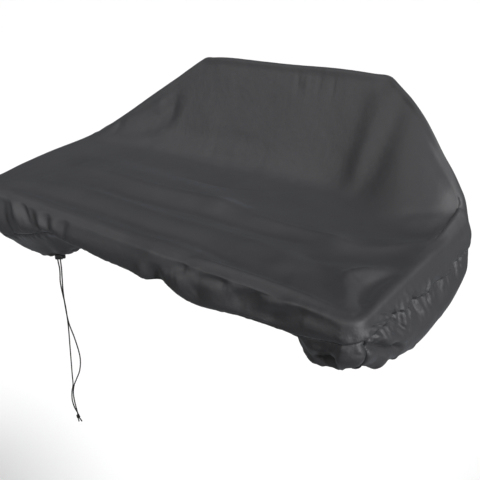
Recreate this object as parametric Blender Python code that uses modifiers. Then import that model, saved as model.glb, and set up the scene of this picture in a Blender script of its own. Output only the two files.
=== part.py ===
"""A fitted cover for an electric piano, draped as it hangs with the music rest raised under it.

The cover is sewn from five pieces of thin woven cloth: one top panel, which lies on the top,
climbs over the raised rest and turns down on all four sides, and a gathered skirt piece on each
side, which is drawn in under the edge by a cord in its hem.  The cord leaves the front hem
through a spring lock and hangs down as two strands that end in one knot.

Units are metres and +Z is up.  The origin is the middle of the flat top that carries the cover.
X runs along the length to the right end, Y runs to the back.

Every sheet is one loft.  A section is a smooth curve down the side of the cover, and its
parameter, called the level, counts the section's own points: 0 on the top, 4 at the seam,
7 at the hem.  The tables below have one row for each section or fold.
"""

import bmesh
import bpy
from math import atan2, cos, exp, floor, log, pi, sin, sqrt
from mathutils import Vector

# ---------------------------------------------------------------- driving sizes
HALF_LENGTH = 0.478
HALF_DEPTH = 0.184
CORNER_RADIUS = 0.026        # rounding of the corners, seen from above
TIGHT_RADIUS = 0.014         # rounding of the corners where the hem is drawn in
CREST_INSET = 0.018          # where the flat top ends and the crest begins to turn down
START_STEPS = (2.2, 1.0)     # the first two points of a section, in crest insets from its edge
CREST_NEAR = 0.3             # the crest's top point, in crest radii in from the edge and down
CREST_DROP = 1.2             # where the crest ends, in crest radii below the top
SHARP_INSET = 0.5            # part of the inset that is lost along the thin top edge of the rest
TOP_SLOPE = 0.072            # the top rises this much per metre towards the back
CLOTH = 0.0016               # thickness of the cloth
SEAM_GAP = 0.0010            # between the top panel and a skirt piece
END_SEAM_GAP = 0.0024        # between two skirt pieces

# The steps between the sections along the front and the back.
# from, to, steps
X_STEPS = (
    (-0.452, -0.388, 3),
    (-0.388, -0.124, 24),
    (-0.124, 0.452, 24),
)
ROWS_FLAT = 11               # rows of the top panel in front of the rest
ROWS_FACE = 9                # rows of the top panel on the rest

FOLDS_END = 1.5              # level at which the top's folds have faded out
SEAM_LEVEL = 4.0
HEM_LEVEL = 7.0
PANEL_LEVELS = (0.5, 1.0, 1.5, 2.0, 2.5, 3.0, 3.5)
SKIRT_LEVELS = (4.5, 5.0, 5.5, 6.0, 6.5)

# The rest's top edge and the two slopes from it to the back corners.
# x, y, z
RIDGE = (
    (-0.478, 0.184, 0.020),
    (-0.466, 0.186, 0.029),
    (-0.440, 0.192, 0.044),
    (-0.403, 0.204, 0.068),
    (-0.333, 0.2265, 0.115),
    (-0.267, 0.248, 0.159),
    (-0.206, 0.268, 0.201),
    (-0.188, 0.273, 0.212),
    (-0.165, 0.273, 0.2148),
    (0.000, 0.273, 0.217),
    (0.235, 0.273, 0.2165),
    (0.266, 0.273, 0.214),
    (0.288, 0.263, 0.204),
    (0.319, 0.250, 0.187),
    (0.359, 0.232, 0.157),
    (0.409, 0.210, 0.105),
    (0.4326, 0.200, 0.081),
    (0.4526, 0.191, 0.057),
    (0.467, 0.186, 0.043),
    (0.478, 0.184, 0.030),
)

# How far the cloth stands above (or droops below) the sloping top along its two ends.
# y, left end, right end
END_LIFT = (
    (-0.184, -0.010, -0.002),
    (-0.106, -0.007, 0.001),
    (-0.045, 0.000, 0.003),
    (0.025, 0.004, 0.004),
    (0.100, 0.006, 0.002),
    (0.150, 0.007, 0.007),
    (0.184, 0.007, 0.017),
)
END_LIFT_REACH = 0.070       # how far in from an end the lift fades

# Where the steep face over the rest meets the top.
# x, y
FOOT = (
    (-0.478, 0.120),
    (-0.350, 0.145),
    (-0.188, 0.160),
    (0.050, 0.162),
    (0.266, 0.150),
    (0.360, 0.110),
    (0.478, 0.070),
)

# The sections of each side.  "out" is measured outwards from the side's upright plane.
# place, crest radius, bulge, seam z, seam out, belly z, belly out, low z, low out, hem z, hem out
FRONT = (
    (-0.478, 0.013, 0.003, -0.060, 0.003, -0.082, 0.005, -0.100, -0.012, -0.098, -0.040),
    (-0.430, 0.015, 0.004, -0.086, 0.000, -0.106, -0.012, -0.120, -0.028, -0.116, -0.052),
    (-0.385, 0.016, 0.006, -0.097, -0.001, -0.120, -0.018, -0.138, -0.034, -0.130, -0.056),
    (-0.350, 0.017, 0.005, -0.104, -0.002, -0.124, -0.018, -0.142, -0.034, -0.134, -0.056),
    (-0.320, 0.017, 0.004, -0.094, -0.002, -0.118, -0.018, -0.141, -0.034, -0.133, -0.056),
    (-0.263, 0.018, 0.003, -0.080, -0.002, -0.108, -0.018, -0.134, -0.034, -0.128, -0.056),
    (-0.240, 0.018, 0.002, -0.071, -0.002, -0.100, -0.018, -0.1225, -0.034, -0.119, -0.056),
    (-0.222, 0.018, 0.002, -0.065, -0.002, -0.094, -0.018, -0.1205, -0.034, -0.116, -0.056),
    (-0.189, 0.018, 0.001, -0.059, -0.003, -0.076, -0.018, -0.099, -0.034, -0.100, -0.056),
    (-0.151, 0.018, 0.002, -0.066, -0.003, -0.073, -0.018, -0.083, -0.034, -0.088, -0.056),
    (-0.100, 0.018, 0.002, -0.066, -0.003, -0.072, -0.018, -0.078, -0.034, -0.084, -0.056),
    (-0.040, 0.017, 0.002, -0.070, -0.003, -0.075, -0.018, -0.079, -0.034, -0.084, -0.056),
    (0.030, 0.016, 0.001, -0.071, -0.003, -0.076, -0.018, -0.080, -0.034, -0.084, -0.056),
    (0.066, 0.015, 0.002, -0.074, -0.003, -0.078, -0.018, -0.082, -0.034, -0.085, -0.056),
    (0.103, 0.014, 0.000, -0.064, -0.004, -0.072, -0.018, -0.079, -0.034, -0.084, -0.056),
    (0.140, 0.013, 0.004, -0.074, -0.003, -0.080, -0.018, -0.084, -0.034, -0.086, -0.056),
    (0.180, 0.013, 0.005, -0.083, -0.003, -0.088, -0.018, -0.090, -0.034, -0.090, -0.056),
    (0.225, 0.012, 0.003, -0.078, -0.003, -0.084, -0.018, -0.088, -0.034, -0.089, -0.056),
    (0.277, 0.012, -0.001, -0.070, -0.004, -0.078, -0.018, -0.084, -0.034, -0.087, -0.056),
    (0.330, 0.011, -0.001, -0.066, -0.004, -0.076, -0.018, -0.084, -0.034, -0.087, -0.056),
    (0.380, 0.011, 0.001, -0.065, -0.003, -0.074, -0.016, -0.083, -0.032, -0.088, -0.054),
    (0.396, 0.010, 0.002, -0.062, -0.003, -0.088, -0.012, -0.108, -0.026, -0.106, -0.050),
    (0.414, 0.010, 0.003, -0.058, -0.002, -0.090, -0.008, -0.113, -0.024, -0.109, -0.048),
    (0.440, 0.010, 0.003, -0.052, -0.001, -0.084, -0.005, -0.108, -0.020, -0.106, -0.044),
    (0.456, 0.010, 0.002, -0.048, 0.001, -0.071, 0.002, -0.093, -0.013, -0.095, -0.040),
    (0.478, 0.010, 0.002, -0.044, 0.003, -0.066, 0.006, -0.086, -0.008, -0.088, -0.036),
)

RIGHT_END = (
    (-0.184, 0.010, 0.002, -0.044, 0.003, -0.066, 0.006, -0.086, -0.008, -0.088, -0.036),
    (-0.158, 0.010, 0.003, -0.038, 0.004, -0.063, 0.008, -0.086, -0.006, -0.088, -0.035),
    (-0.146, 0.010, 0.003, -0.037, 0.004, -0.066, 0.009, -0.092, -0.004, -0.092, -0.034),
    (-0.126, 0.010, 0.003, -0.037, 0.004, -0.074, 0.012, -0.108, -0.002, -0.102, -0.033),
    (-0.106, 0.010, 0.003, -0.037, 0.004, -0.075, 0.012, -0.109, -0.002, -0.103, -0.034),
    (-0.070, 0.010, 0.004, -0.039, 0.004, -0.080, 0.014, -0.120, -0.002, -0.112, -0.036),
    (-0.040, 0.011, 0.004, -0.041, 0.004, -0.084, 0.016, -0.127, -0.002, -0.118, -0.038),
    (0.005, 0.011, 0.004, -0.044, 0.004, -0.088, 0.017, -0.131, -0.002, -0.122, -0.040),
    (0.055, 0.011, 0.005, -0.044, 0.004, -0.086, 0.016, -0.128, -0.004, -0.120, -0.042),
    (0.100, 0.011, 0.005, -0.040, 0.005, -0.082, 0.014, -0.123, -0.006, -0.116, -0.042),
    (0.145, 0.010, 0.006, -0.032, 0.005, -0.074, 0.009, -0.113, -0.010, -0.108, -0.042),
    (0.184, 0.008, 0.007, -0.028, 0.005, -0.068, 0.003, -0.103, -0.016, -0.102, -0.042),
)

BACK = (
    (-0.478, 0.008, 0.003, -0.042, 0.003, -0.076, 0.001, -0.104, -0.016, -0.104, -0.042),
    (-0.400, 0.007, 0.002, -0.050, 0.004, -0.084, 0.001, -0.118, -0.018, -0.116, -0.044),
    (-0.250, 0.006, 0.003, -0.054, 0.006, -0.086, -0.003, -0.120, -0.022, -0.118, -0.048),
    (-0.060, 0.006, 0.003, -0.052, 0.007, -0.084, -0.004, -0.118, -0.024, -0.116, -0.050),
    (0.120, 0.006, 0.003, -0.056, 0.007, -0.088, -0.004, -0.122, -0.024, -0.119, -0.050),
    (0.290, 0.006, 0.003, -0.052, 0.006, -0.084, -0.002, -0.118, -0.022, -0.116, -0.048),
    (0.410, 0.007, 0.002, -0.042, 0.005, -0.080, 0.002, -0.112, -0.018, -0.110, -0.044),
    (0.478, 0.008, 0.007, -0.028, 0.005, -0.068, 0.003, -0.103, -0.016, -0.102, -0.042),
)

LEFT_END = (
    (-0.184, 0.013, 0.003, -0.060, 0.003, -0.082, 0.005, -0.100, -0.012, -0.098, -0.040),
    (-0.140, 0.013, 0.003, -0.056, 0.003, -0.088, 0.010, -0.120, -0.006, -0.114, -0.038),
    (-0.070, 0.012, 0.004, -0.054, 0.003, -0.088, 0.012, -0.126, -0.008, -0.118, -0.040),
    (0.000, 0.012, 0.004, -0.056, 0.003, -0.092, 0.013, -0.132, -0.008, -0.124, -0.042),
    (0.080, 0.011, 0.004, -0.054, 0.004, -0.088, 0.010, -0.126, -0.010, -0.120, -0.042),
    (0.140, 0.010, 0.004, -0.048, 0.004, -0.082, 0.006, -0.120, -0.012, -0.114, -0.042),
    (0.184, 0.008, 0.003, -0.042, 0.003, -0.076, 0.001, -0.104, -0.016, -0.104, -0.042),
)

# Soft ridges (height > 0) and troughs (height < 0) of the top panel, seen from above.
# x0, y0, x1, y1, half width, height
TOP_FOLDS = (
    (-0.300, 0.022, 0.080, 0.010, 0.028, 0.0040),
    (0.080, 0.010, 0.330, 0.000, 0.026, 0.0035),
    (0.330, 0.000, 0.450, 0.050, 0.024, 0.0030),
    (-0.360, 0.090, 0.060, 0.080, 0.030, -0.0030),
    (0.100, 0.075, 0.420, 0.085, 0.034, -0.0030),
    (-0.400, 0.176, -0.245, 0.212, 0.015, -0.0060),
    (0.262, 0.245, 0.262, 0.180, 0.024, 0.0050),
    (-0.300, -0.060, 0.200, -0.075, 0.030, -0.0025),
    (0.300, -0.110, 0.440, -0.060, 0.022, 0.0035),
    (0.330, -0.060, 0.430, -0.010, 0.024, -0.0035),
)

# Puckers down a side.  A pucker is strongest at its own level and leans as it goes down.
# place, half width, out, level, reach in levels, lean per level
FRONT_FOLDS = (
    (-0.440, 0.014, 0.0050, 3.6, 1.8, 0.006),
    (-0.405, 0.013, -0.0060, 3.4, 1.8, 0.007),
    (-0.372, 0.012, 0.0060, 3.6, 1.8, 0.007),
    (-0.336, 0.012, -0.0060, 3.2, 1.8, 0.010),
    (-0.300, 0.012, 0.0050, 2.3, 1.8, 0.020),
    (-0.267, 0.009, -0.0045, 2.3, 1.7, 0.020),
    (-0.238, 0.010, -0.0045, 2.8, 1.8, 0.014),
    (-0.216, 0.011, 0.0045, 2.7, 1.8, 0.012),
    (-0.200, 0.009, -0.0040, 2.6, 1.8, 0.004),
    (-0.178, 0.011, 0.0030, 2.4, 1.6, 0.003),
    (-0.150, 0.010, -0.0045, 2.5, 1.6, -0.003),
    (0.070, 0.012, 0.0030, 3.4, 1.2, 0.000),
    (0.100, 0.014, -0.0060, 3.6, 1.4, 0.000),
    (0.150, 0.020, 0.0040, 3.0, 1.4, 0.000),
    (0.190, 0.014, -0.0040, 3.2, 1.0, 0.000),
    (0.225, 0.018, 0.0030, 3.2, 1.2, 0.000),
    (0.300, 0.036, -0.0060, 2.9, 1.1, 0.000),
    (0.405, 0.014, 0.0050, 5.6, 1.4, 0.000),
    (0.432, 0.012, -0.0050, 5.4, 1.4, 0.000),
    (0.455, 0.010, 0.0050, 5.2, 1.4, 0.000),
)

RIGHT_FOLDS = (
    (-0.158, 0.014, 0.0020, 5.0, 1.8, 0.000),
    (-0.122, 0.014, 0.0040, 4.8, 1.6, 0.002),
    (-0.092, 0.013, -0.0040, 4.1, 1.5, 0.003),
    (-0.062, 0.014, 0.0035, 4.2, 1.5, 0.003),
    (-0.030, 0.013, -0.0040, 4.0, 1.4, 0.002),
    (0.006, 0.014, 0.0035, 4.2, 1.4, 0.002),
    (0.042, 0.013, -0.0035, 4.0, 1.3, 0.000),
    (0.078, 0.015, 0.0030, 4.2, 1.3, 0.000),
    (0.114, 0.014, -0.0035, 4.0, 1.3, -0.002),
)

LEFT_FOLDS = (
    (-0.110, 0.014, -0.0045, 4.1, 1.6, 0.003),
    (-0.070, 0.014, 0.0045, 4.1, 1.4, 0.003),
    (-0.028, 0.014, -0.0040, 4.0, 1.4, 0.000),
    (0.020, 0.015, 0.0040, 4.1, 1.4, 0.000),
    (0.066, 0.014, -0.0040, 4.0, 1.3, -0.002),
    (0.112, 0.015, 0.0035, 4.1, 1.3, -0.002),
)

BACK_FOLDS = (
    (-0.400, 0.022, 0.0040, 4.2, 1.4, 0.000),
    (-0.330, 0.020, -0.0050, 3.8, 1.6, 0.006),
    (-0.255, 0.022, 0.0050, 4.0, 1.6, 0.008),
    (-0.160, 0.024, -0.0050, 3.7, 1.4, 0.004),
    (-0.060, 0.022, 0.0045, 4.0, 1.4, 0.000),
    (0.030, 0.024, -0.0050, 3.8, 1.4, 0.000),
    (0.125, 0.024, 0.0050, 4.0, 1.4, -0.004),
    (0.215, 0.022, -0.0050, 3.7, 1.6, -0.008),
    (0.300, 0.022, 0.0050, 4.0, 1.6, -0.006),
    (0.385, 0.020, -0.0040, 4.0, 1.4, 0.000),
)

# Each side: its table of sections, its puckers, its half span, and the angle that it faces.
SIDES = {
    "front": (FRONT, FRONT_FOLDS, HALF_LENGTH, -pi / 2),
    "right": (RIGHT_END, RIGHT_FOLDS, HALF_DEPTH, 0.0),
    "back": (BACK, BACK_FOLDS, HALF_LENGTH, pi / 2),
    "left": (LEFT_END, LEFT_FOLDS, HALF_DEPTH, pi),
}


# ---------------------------------------------------------------- curves through table rows
def smooth(knots, values, place):
    """Value at a place on the smooth curve through the rows (knots[i], values[i])."""
    last = len(knots) - 1
    place = min(max(place, knots[0]), knots[last])
    i = 0
    while i < last - 1 and place > knots[i + 1]:
        i += 1
    span = knots[i + 1] - knots[i]
    f = (place - knots[i]) / span

    def slope(k, column):
        if k == 0:
            return (values[1][column] - values[0][column]) / (knots[1] - knots[0])
        if k == last:
            return (values[k][column] - values[k - 1][column]) / (knots[k] - knots[k - 1])
        before = knots[k] - knots[k - 1]
        after = knots[k + 1] - knots[k]
        rise_before = (values[k][column] - values[k - 1][column]) / before
        rise_after = (values[k + 1][column] - values[k][column]) / after
        return (rise_before * after + rise_after * before) / (before + after)

    result = []
    for column in range(len(values[0])):
        a, b = values[i][column], values[i + 1][column]
        ta, tb = slope(i, column) * span, slope(i + 1, column) * span
        cubic = 2 * a + ta - 2 * b + tb
        square = 3 * b - 3 * a - 2 * ta - tb
        result.append(((cubic * f + square) * f + ta) * f + a)
    return result


def table_at(table, place):
    """The row of a table at a place between its rows."""
    return smooth([row[0] for row in table], [row[1:] for row in table], place)


def mix(a, b, f):
    return a + (b - a) * f


# ---------------------------------------------------------------- the top, with the raised rest
RIDGE_RISE = max(z - TOP_SLOPE * y for x, y, z in RIDGE)
FACE_BLEND = 0.10            # how far the foot of the face is rounded, in parts of its rise
LEAST_RISE = 0.0005          # of the face, where it runs out at the ends
STEP = 0.002                 # distance used for slopes


def level_top(x, y):
    """Height of the sloping top, with the lift along its ends."""
    left, right = table_at(END_LIFT, y)
    fade_left = exp(-((x + HALF_LENGTH) / END_LIFT_REACH) ** 2)
    fade_right = exp(-((x - HALF_LENGTH) / END_LIFT_REACH) ** 2)
    return TOP_SLOPE * y + left * fade_left + right * fade_right


def plain_height(x, y):
    """Height of the top panel without its folds."""
    ridge_y, ridge_z = table_at(RIDGE, x)
    rise = max(ridge_z - level_top(x, ridge_y), LEAST_RISE)
    foot = table_at(FOOT, x)[0]
    blend = FACE_BLEND * rise
    climb = rise * (y - foot) / (ridge_y - foot)
    return level_top(x, y) + blend * log(1 + exp(climb / blend))


def fold_height(x, y):
    """Sum of the soft ridges and troughs at a place on the top panel."""
    total = 0.0
    for x0, y0, x1, y1, half_width, height in TOP_FOLDS:
        dx, dy = x1 - x0, y1 - y0
        along = ((x - x0) * dx + (y - y0) * dy) / (dx * dx + dy * dy)
        along = min(max(along, 0.0), 1.0)
        away2 = (x - x0 - along * dx) ** 2 + (y - y0 - along * dy) ** 2
        total += height * exp(-away2 / half_width ** 2)
    return total


def top_point(x, y):
    """A point of the top panel, moved along the panel's normal by its folds."""
    slope_x = (plain_height(x + STEP, y) - plain_height(x - STEP, y)) / (2 * STEP)
    slope_y = (plain_height(x, y + STEP) - plain_height(x, y - STEP)) / (2 * STEP)
    normal = Vector((-slope_x, -slope_y, 1.0)).normalized()
    return Vector((x, y, plain_height(x, y))) + normal * fold_height(x, y)


# ---------------------------------------------------------------- the sides
def side_frame(side, place, draw_in=0.0):
    """Centre of the rounding and outward direction of a side at a place along it.  Where the
    cloth is drawn in under the edge, its sections move together and the corners shrink."""
    half_span, facing = SIDES[side][2:]
    outward = Vector((round(cos(facing)), round(sin(facing)), 0))
    along = Vector((abs(outward.y), abs(outward.x), 0))
    half_across = HALF_DEPTH if outward.y else HALF_LENGTH
    straight = half_span - CORNER_RADIUS
    turn = max(abs(place) - straight, 0.0) / CORNER_RADIUS
    sign = 1 if place > 0 else -1
    reach = min(abs(place), straight) * (1 + draw_in / straight)
    centre = along * (sign * reach) + outward * (half_across - CORNER_RADIUS + draw_in)
    normal = along * (sign * turn / sqrt(2)) + outward * sqrt(1 - turn * turn / 2)
    return centre, normal


def section(side, place):
    """The section's own points as (out, z), from just inside the crest to the hem."""
    (radius, bulge, seam_z, seam_out, belly_z, belly_out,
     low_z, low_out, hem_z, hem_out) = table_at(SIDES[side][0], place)
    centre, normal = side_frame(side, place)
    edge = centre + normal * CORNER_RADIUS
    crest_z = level_top(edge.x, edge.y)
    inset = CREST_INSET
    lift_y, lift_z = 0.0, 0.0
    starts = []
    if side == "back":
        ridge_y, ridge_z = table_at(RIDGE, place)
        lift_y = ridge_y - HALF_DEPTH
        lift_z = max(ridge_z - crest_z, 0.0)
        inset *= 1 - SHARP_INSET * min(lift_z / RIDGE_RISE, 1.0)
    for step in START_STEPS:
        out = -inset * step
        spot = centre + normal * (CORNER_RADIUS + out)
        starts.append((out + lift_y, plain_height(spot.x, spot.y + lift_y)))
    crest_end = crest_z - CREST_DROP * radius
    near = CREST_NEAR * radius
    return starts + [
        (lift_y - near, crest_z - near + lift_z),
        (lift_y, crest_end + lift_z),
        (bulge + lift_y / 2, (crest_end + seam_z + lift_z) / 2),
        (seam_out, seam_z),
        (belly_out, belly_z),
        (low_out, low_z),
        (hem_out, hem_z),
    ]


def pucker(side, place, level):
    """How far the puckers of a side push the cloth out."""
    total = 0.0
    for fold_place, half_width, out, fold_level, reach, lean in SIDES[side][1]:
        fade = max(0.0, 1 - ((level - fold_level) / reach) ** 2) ** 2
        away = (place - fold_place - lean * (level - fold_level)) / half_width
        total += out * fade * exp(-away * away)
    return total


def side_point(side, place, level):
    """A point of a side: level 0 is the end of the flat top, 4 the seam, 7 the hem."""
    points = section(side, place)
    knots = [0.0]
    for a, b in zip(points, points[1:]):
        knots.append(knots[-1] + sqrt((b[0] - a[0]) ** 2 + (b[1] - a[1]) ** 2))
    first = min(floor(level), len(points) - 3) + 1
    chord = mix(knots[first], knots[first + 1], level - first + 1)
    out, z = smooth(knots, points, chord)
    out += pucker(side, place, level)
    draw_in = min(out + CORNER_RADIUS - TIGHT_RADIUS, 0.0)
    centre, normal = side_frame(side, place, draw_in)
    spot = centre + normal * (CORNER_RADIUS + out - draw_in)
    crest_share = max(0.0, 1 - level / FOLDS_END)
    z += fold_height(spot.x, spot.y) * crest_share
    return Vector((spot.x, spot.y, z))


def seam_offset(side, place):
    """The part of a level that half the seam's gap takes, above and below the seam."""
    points = section(side, place)
    above = sqrt((points[5][0] - points[4][0]) ** 2 + (points[5][1] - points[4][1]) ** 2)
    below = sqrt((points[6][0] - points[5][0]) ** 2 + (points[6][1] - points[5][1]) ** 2)
    return SEAM_GAP / 2 / above, SEAM_GAP / 2 / below


# ---------------------------------------------------------------- cord, lock and knot
CORD_RADIUS = 0.0014
CORD_SIDES_LEVEL = 2         # bevel resolution of the cord tubes
CORD_POINTS = 48             # points along a strand
CORNER_CORD_POINTS = 12

LOCK_CENTRE = Vector((-0.2195, -0.1500, -0.1291))
LOCK_TURN = 0.69             # the lock lies askew under the hem, seen from above
LOCK_RADIUS = 0.0056
LOCK_LENGTH = 0.0150
LOCK_ROUNDING = 0.0012
BUTTON_RADIUS = 0.0038
BUTTON_LENGTH = 0.0080
BUTTON_OUT = 0.0050          # how far the button stands out of the lock
BUTTON_PLAY = 0.0004
BUTTON_ROUNDING = 0.0008
MOUTH_RADIUS = 0.0019        # of the two holes that the strands leave by
MOUTH_DEPTH = 0.0020
MOUTH_SPACING = 0.0050
MOUTH_SHIFT = -0.0010        # of both mouths, away from the button
STRAIGHT_RUN = 0.0060         # a strand leaves its mouth straight down this far
TOUCH = 0.0003               # gap between pieces that touch

KNOT_CENTRE = Vector((-0.2390, -0.1505, -0.5385))
KNOT_RADII = (0.0044, 0.0040, 0.0060)
KNOT_WRAPS = 3
KNOT_WRAP_DEPTH = 0.09
END_THINNING = 0.03          # the second cord end is this much thinner, so that the two can join

# Routes of the two strands below their mouths.
# x, y, z
LEFT_STRAND = (
    (-0.2262, -0.1515, -0.1530),
    (-0.2300, -0.1495, -0.1680),
    (-0.2345, -0.1490, -0.1900),
    (-0.2325, -0.1490, -0.2180),
    (-0.2290, -0.1490, -0.2420),
    (-0.2285, -0.1490, -0.2880),
    (-0.2340, -0.1490, -0.3500),
    (-0.2385, -0.1490, -0.3980),
    (-0.2415, -0.1490, -0.4280),
    (-0.2435, -0.1490, -0.4520),
    (-0.2530, -0.1490, -0.4800),
    (-0.2560, -0.1490, -0.5050),
    (-0.2500, -0.1490, -0.5230),
    (-0.2412, -0.1490, -0.5320),
)
RIGHT_STRAND = (
    (-0.2195, -0.1512, -0.1530),
    (-0.2212, -0.1518, -0.1740),
    (-0.2250, -0.1520, -0.2160),
    (-0.2250, -0.1520, -0.2400),
    (-0.2200, -0.1520, -0.2850),
    (-0.2065, -0.1520, -0.3180),
    (-0.1970, -0.1520, -0.3600),
    (-0.2045, -0.1520, -0.3950),
    (-0.2220, -0.1520, -0.4270),
    (-0.2360, -0.1520, -0.4520),
    (-0.2430, -0.1520, -0.4770),
    (-0.2425, -0.1520, -0.5000),
    (-0.2385, -0.1520, -0.5230),
    (-0.2372, -0.1520, -0.5315),
)
# The two short ends of the cord below the knot.
# from, to
CORD_ENDS = (
    ((-0.2385, -0.1505, -0.5400), (-0.2285, -0.1495, -0.5490)),
    ((-0.2392, -0.1505, -0.5400), (-0.2365, -0.1520, -0.5515)),
)
# The bit of the hem cord that shows under the front right corner.
# x, y, z
CORNER_CORD = (
    (0.4645, -0.1700, -0.0893),
    (0.4680, -0.1665, -0.0912),
    (0.4700, -0.1620, -0.0925),
    (0.4705, -0.1580, -0.0928),
    (0.4700, -0.1545, -0.0924),
)

COLOURS = {
    # name: colour, roughness
    "cover_cloth": ((0.052, 0.053, 0.057, 1.0), 0.62),
    "skirt_cloth": ((0.046, 0.047, 0.051, 1.0), 0.64),
    "lock_plastic": ((0.012, 0.012, 0.013, 1.0), 0.35),
    "cord_yarn": ((0.016, 0.016, 0.018, 1.0), 0.75),
}


# ---------------------------------------------------------------- scene helpers
def clear_scene():
    for thing in list(bpy.data.objects):
        bpy.data.objects.remove(thing, do_unlink=True)


def new_collection(name):
    collection = bpy.data.collections.new(name)
    bpy.context.scene.collection.children.link(collection)
    return collection


def new_material(name):
    colour, roughness = COLOURS[name]
    material = bpy.data.materials.new(name)
    material.use_nodes = True
    shader = material.node_tree.nodes["Principled BSDF"]
    shader.inputs["Base Color"].default_value = colour
    shader.inputs["Roughness"].default_value = roughness
    shader.inputs["Metallic"].default_value = 0.0
    return material


def add_mesh(name, bm, material, collection):
    mesh = bpy.data.meshes.new(name)
    bm.to_mesh(mesh)
    bm.free()
    mesh.shade_smooth()
    mesh.materials.append(material)
    thing = bpy.data.objects.new(name, mesh)
    collection.objects.link(thing)
    return thing


def thicken(thing):
    solidify = thing.modifiers.new("Cloth thickness", "SOLIDIFY")
    solidify.thickness = CLOTH
    solidify.offset = 1.0


# ---------------------------------------------------------------- the cloth pieces
def places(half_span, stretches):
    """Places along a side: two on each rounded corner, and even steps on each stretch between."""
    corner = [half_span, half_span - CORNER_RADIUS / 2]
    middle = [stretches[0][0]]
    for start, end, steps in stretches:
        middle += [mix(start, end, (k + 1) / steps) for k in range(steps)]
    return [-p for p in corner] + middle + corner[::-1]


STRAIGHT_Y = HALF_DEPTH - CORNER_RADIUS
ALONG_X = places(HALF_LENGTH, X_STEPS)
ALONG_Y = places(HALF_DEPTH, ((-STRAIGHT_Y, STRAIGHT_Y, ROWS_FLAT + ROWS_FACE - 4),))
CORNER_PULL = 0.7            # how far the grid's end columns move in from the rounded corners


def panel_inner(i, j):
    """A point inside the top panel, at column i and row j of its grid."""
    last = len(ALONG_Y) - 1
    x = ALONG_X[i]
    if abs(x) > HALF_LENGTH - CORNER_RADIUS:
        x *= 1 - (abs(x) - HALF_LENGTH + CORNER_RADIUS) * CORNER_PULL / abs(x)
    front = side_point("front", ALONG_X[i], 0).y
    back = side_point("back", ALONG_X[i], 0).y
    foot = table_at(FOOT, x)[0]
    if j <= ROWS_FLAT:
        raised_y = mix(front, foot, j / ROWS_FLAT)
    else:
        raised_y = mix(foot, back, (j - ROWS_FLAT) / (last - ROWS_FLAT))
    end_y = mix(front, back, (ALONG_Y[j] - ALONG_Y[0]) / (ALONG_Y[-1] - ALONG_Y[0]))
    ridge_y, ridge_z = table_at(RIDGE, x)
    raised = min((ridge_z - level_top(x, ridge_y)) / RIDGE_RISE, 1.0)
    return top_point(x, mix(end_y, raised_y, sqrt(max(raised, 0.0))))


def panel_edge(i, j):
    """Side and place of a grid point on the edge of the top panel, or None inside it."""
    if j == 0:
        return "front", ALONG_X[i]
    if j == len(ALONG_Y) - 1:
        return "back", ALONG_X[i]
    if i == 0:
        return "left", ALONG_Y[j]
    if i == len(ALONG_X) - 1:
        return "right", ALONG_Y[j]
    return None


def build_top_panel(material, collection):
    columns, rows = len(ALONG_X) - 1, len(ALONG_Y) - 1
    bm = bmesh.new()
    bmesh.ops.create_grid(bm, x_segments=columns, y_segments=rows, size=1.0)
    edge_of = {}
    for vert in bm.verts:
        i = round((vert.co.x + 1) / 2 * columns)
        j = round((vert.co.y + 1) / 2 * rows)
        edge = panel_edge(i, j)
        if edge:
            vert.co = side_point(*edge, 0)
            edge_of[vert] = edge
        else:
            vert.co = panel_inner(i, j)
    rim = [edge for edge in bm.edges if edge.is_boundary]
    for level in PANEL_LEVELS + (SEAM_LEVEL,):
        old = {tuple(vert.co): vert for edge in rim for vert in edge.verts}
        grown = bmesh.ops.extrude_edge_only(bm, edges=rim)["geom"]
        rim = [part for part in grown if isinstance(part, bmesh.types.BMEdge)]
        for vert in [part for part in grown if isinstance(part, bmesh.types.BMVert)]:
            side, place = edge_of[old[tuple(vert.co)]]
            edge_of[vert] = (side, place)
            gap = seam_offset(side, place)[0] if level == SEAM_LEVEL else 0.0
            vert.co = side_point(side, place, level - gap)
        rim = [edge for edge in rim if edge.is_boundary]
    bmesh.ops.recalc_face_normals(bm, faces=bm.faces)
    turn_out(bm)
    thing = add_mesh("top_panel", bm, material, collection)
    thicken(thing)


def turn_out(bm):
    """Make the faces of an open sheet look away from the middle of the cover."""
    outward = sum(face.normal.dot(face.calc_center_median()) * face.calc_area() for face in bm.faces)
    if outward < 0:
        bmesh.ops.reverse_faces(bm, faces=bm.faces)


def skirt_stations(side):
    """Sections of a skirt piece.  The end pieces stop halfway round the rounded corners, where
    the front and back pieces meet them."""
    seam_place = HALF_DEPTH - CORNER_RADIUS / 2
    if side in ("right", "left"):
        end = seam_place - END_SEAM_GAP / 2
        inner = [place for place in ALONG_Y if abs(place) < end - END_SEAM_GAP]
        return [(side, place) for place in [-end] + inner + [end]]
    turn = seam_place + END_SEAM_GAP / 2
    if side == "front":
        turn = -turn
    return [("left", turn)] + [(side, place) for place in ALONG_X] + [("right", turn)]


def build_skirt(side, material, collection):
    stations = skirt_stations(side)
    levels = (SEAM_LEVEL,) + SKIRT_LEVELS + (HEM_LEVEL,)
    columns, rows = len(stations) - 1, len(levels) - 1
    bm = bmesh.new()
    bmesh.ops.create_grid(bm, x_segments=columns, y_segments=rows, size=1.0)
    for vert in bm.verts:
        station = stations[round((vert.co.x + 1) / 2 * columns)]
        level = levels[round((vert.co.y + 1) / 2 * rows)]
        gap = seam_offset(*station)[1] if level == SEAM_LEVEL else 0.0
        vert.co = side_point(*station, level + gap)
    bmesh.ops.recalc_face_normals(bm, faces=bm.faces)
    turn_out(bm)
    thing = add_mesh("skirt_" + side, bm, material, collection)
    thicken(thing)


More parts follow.
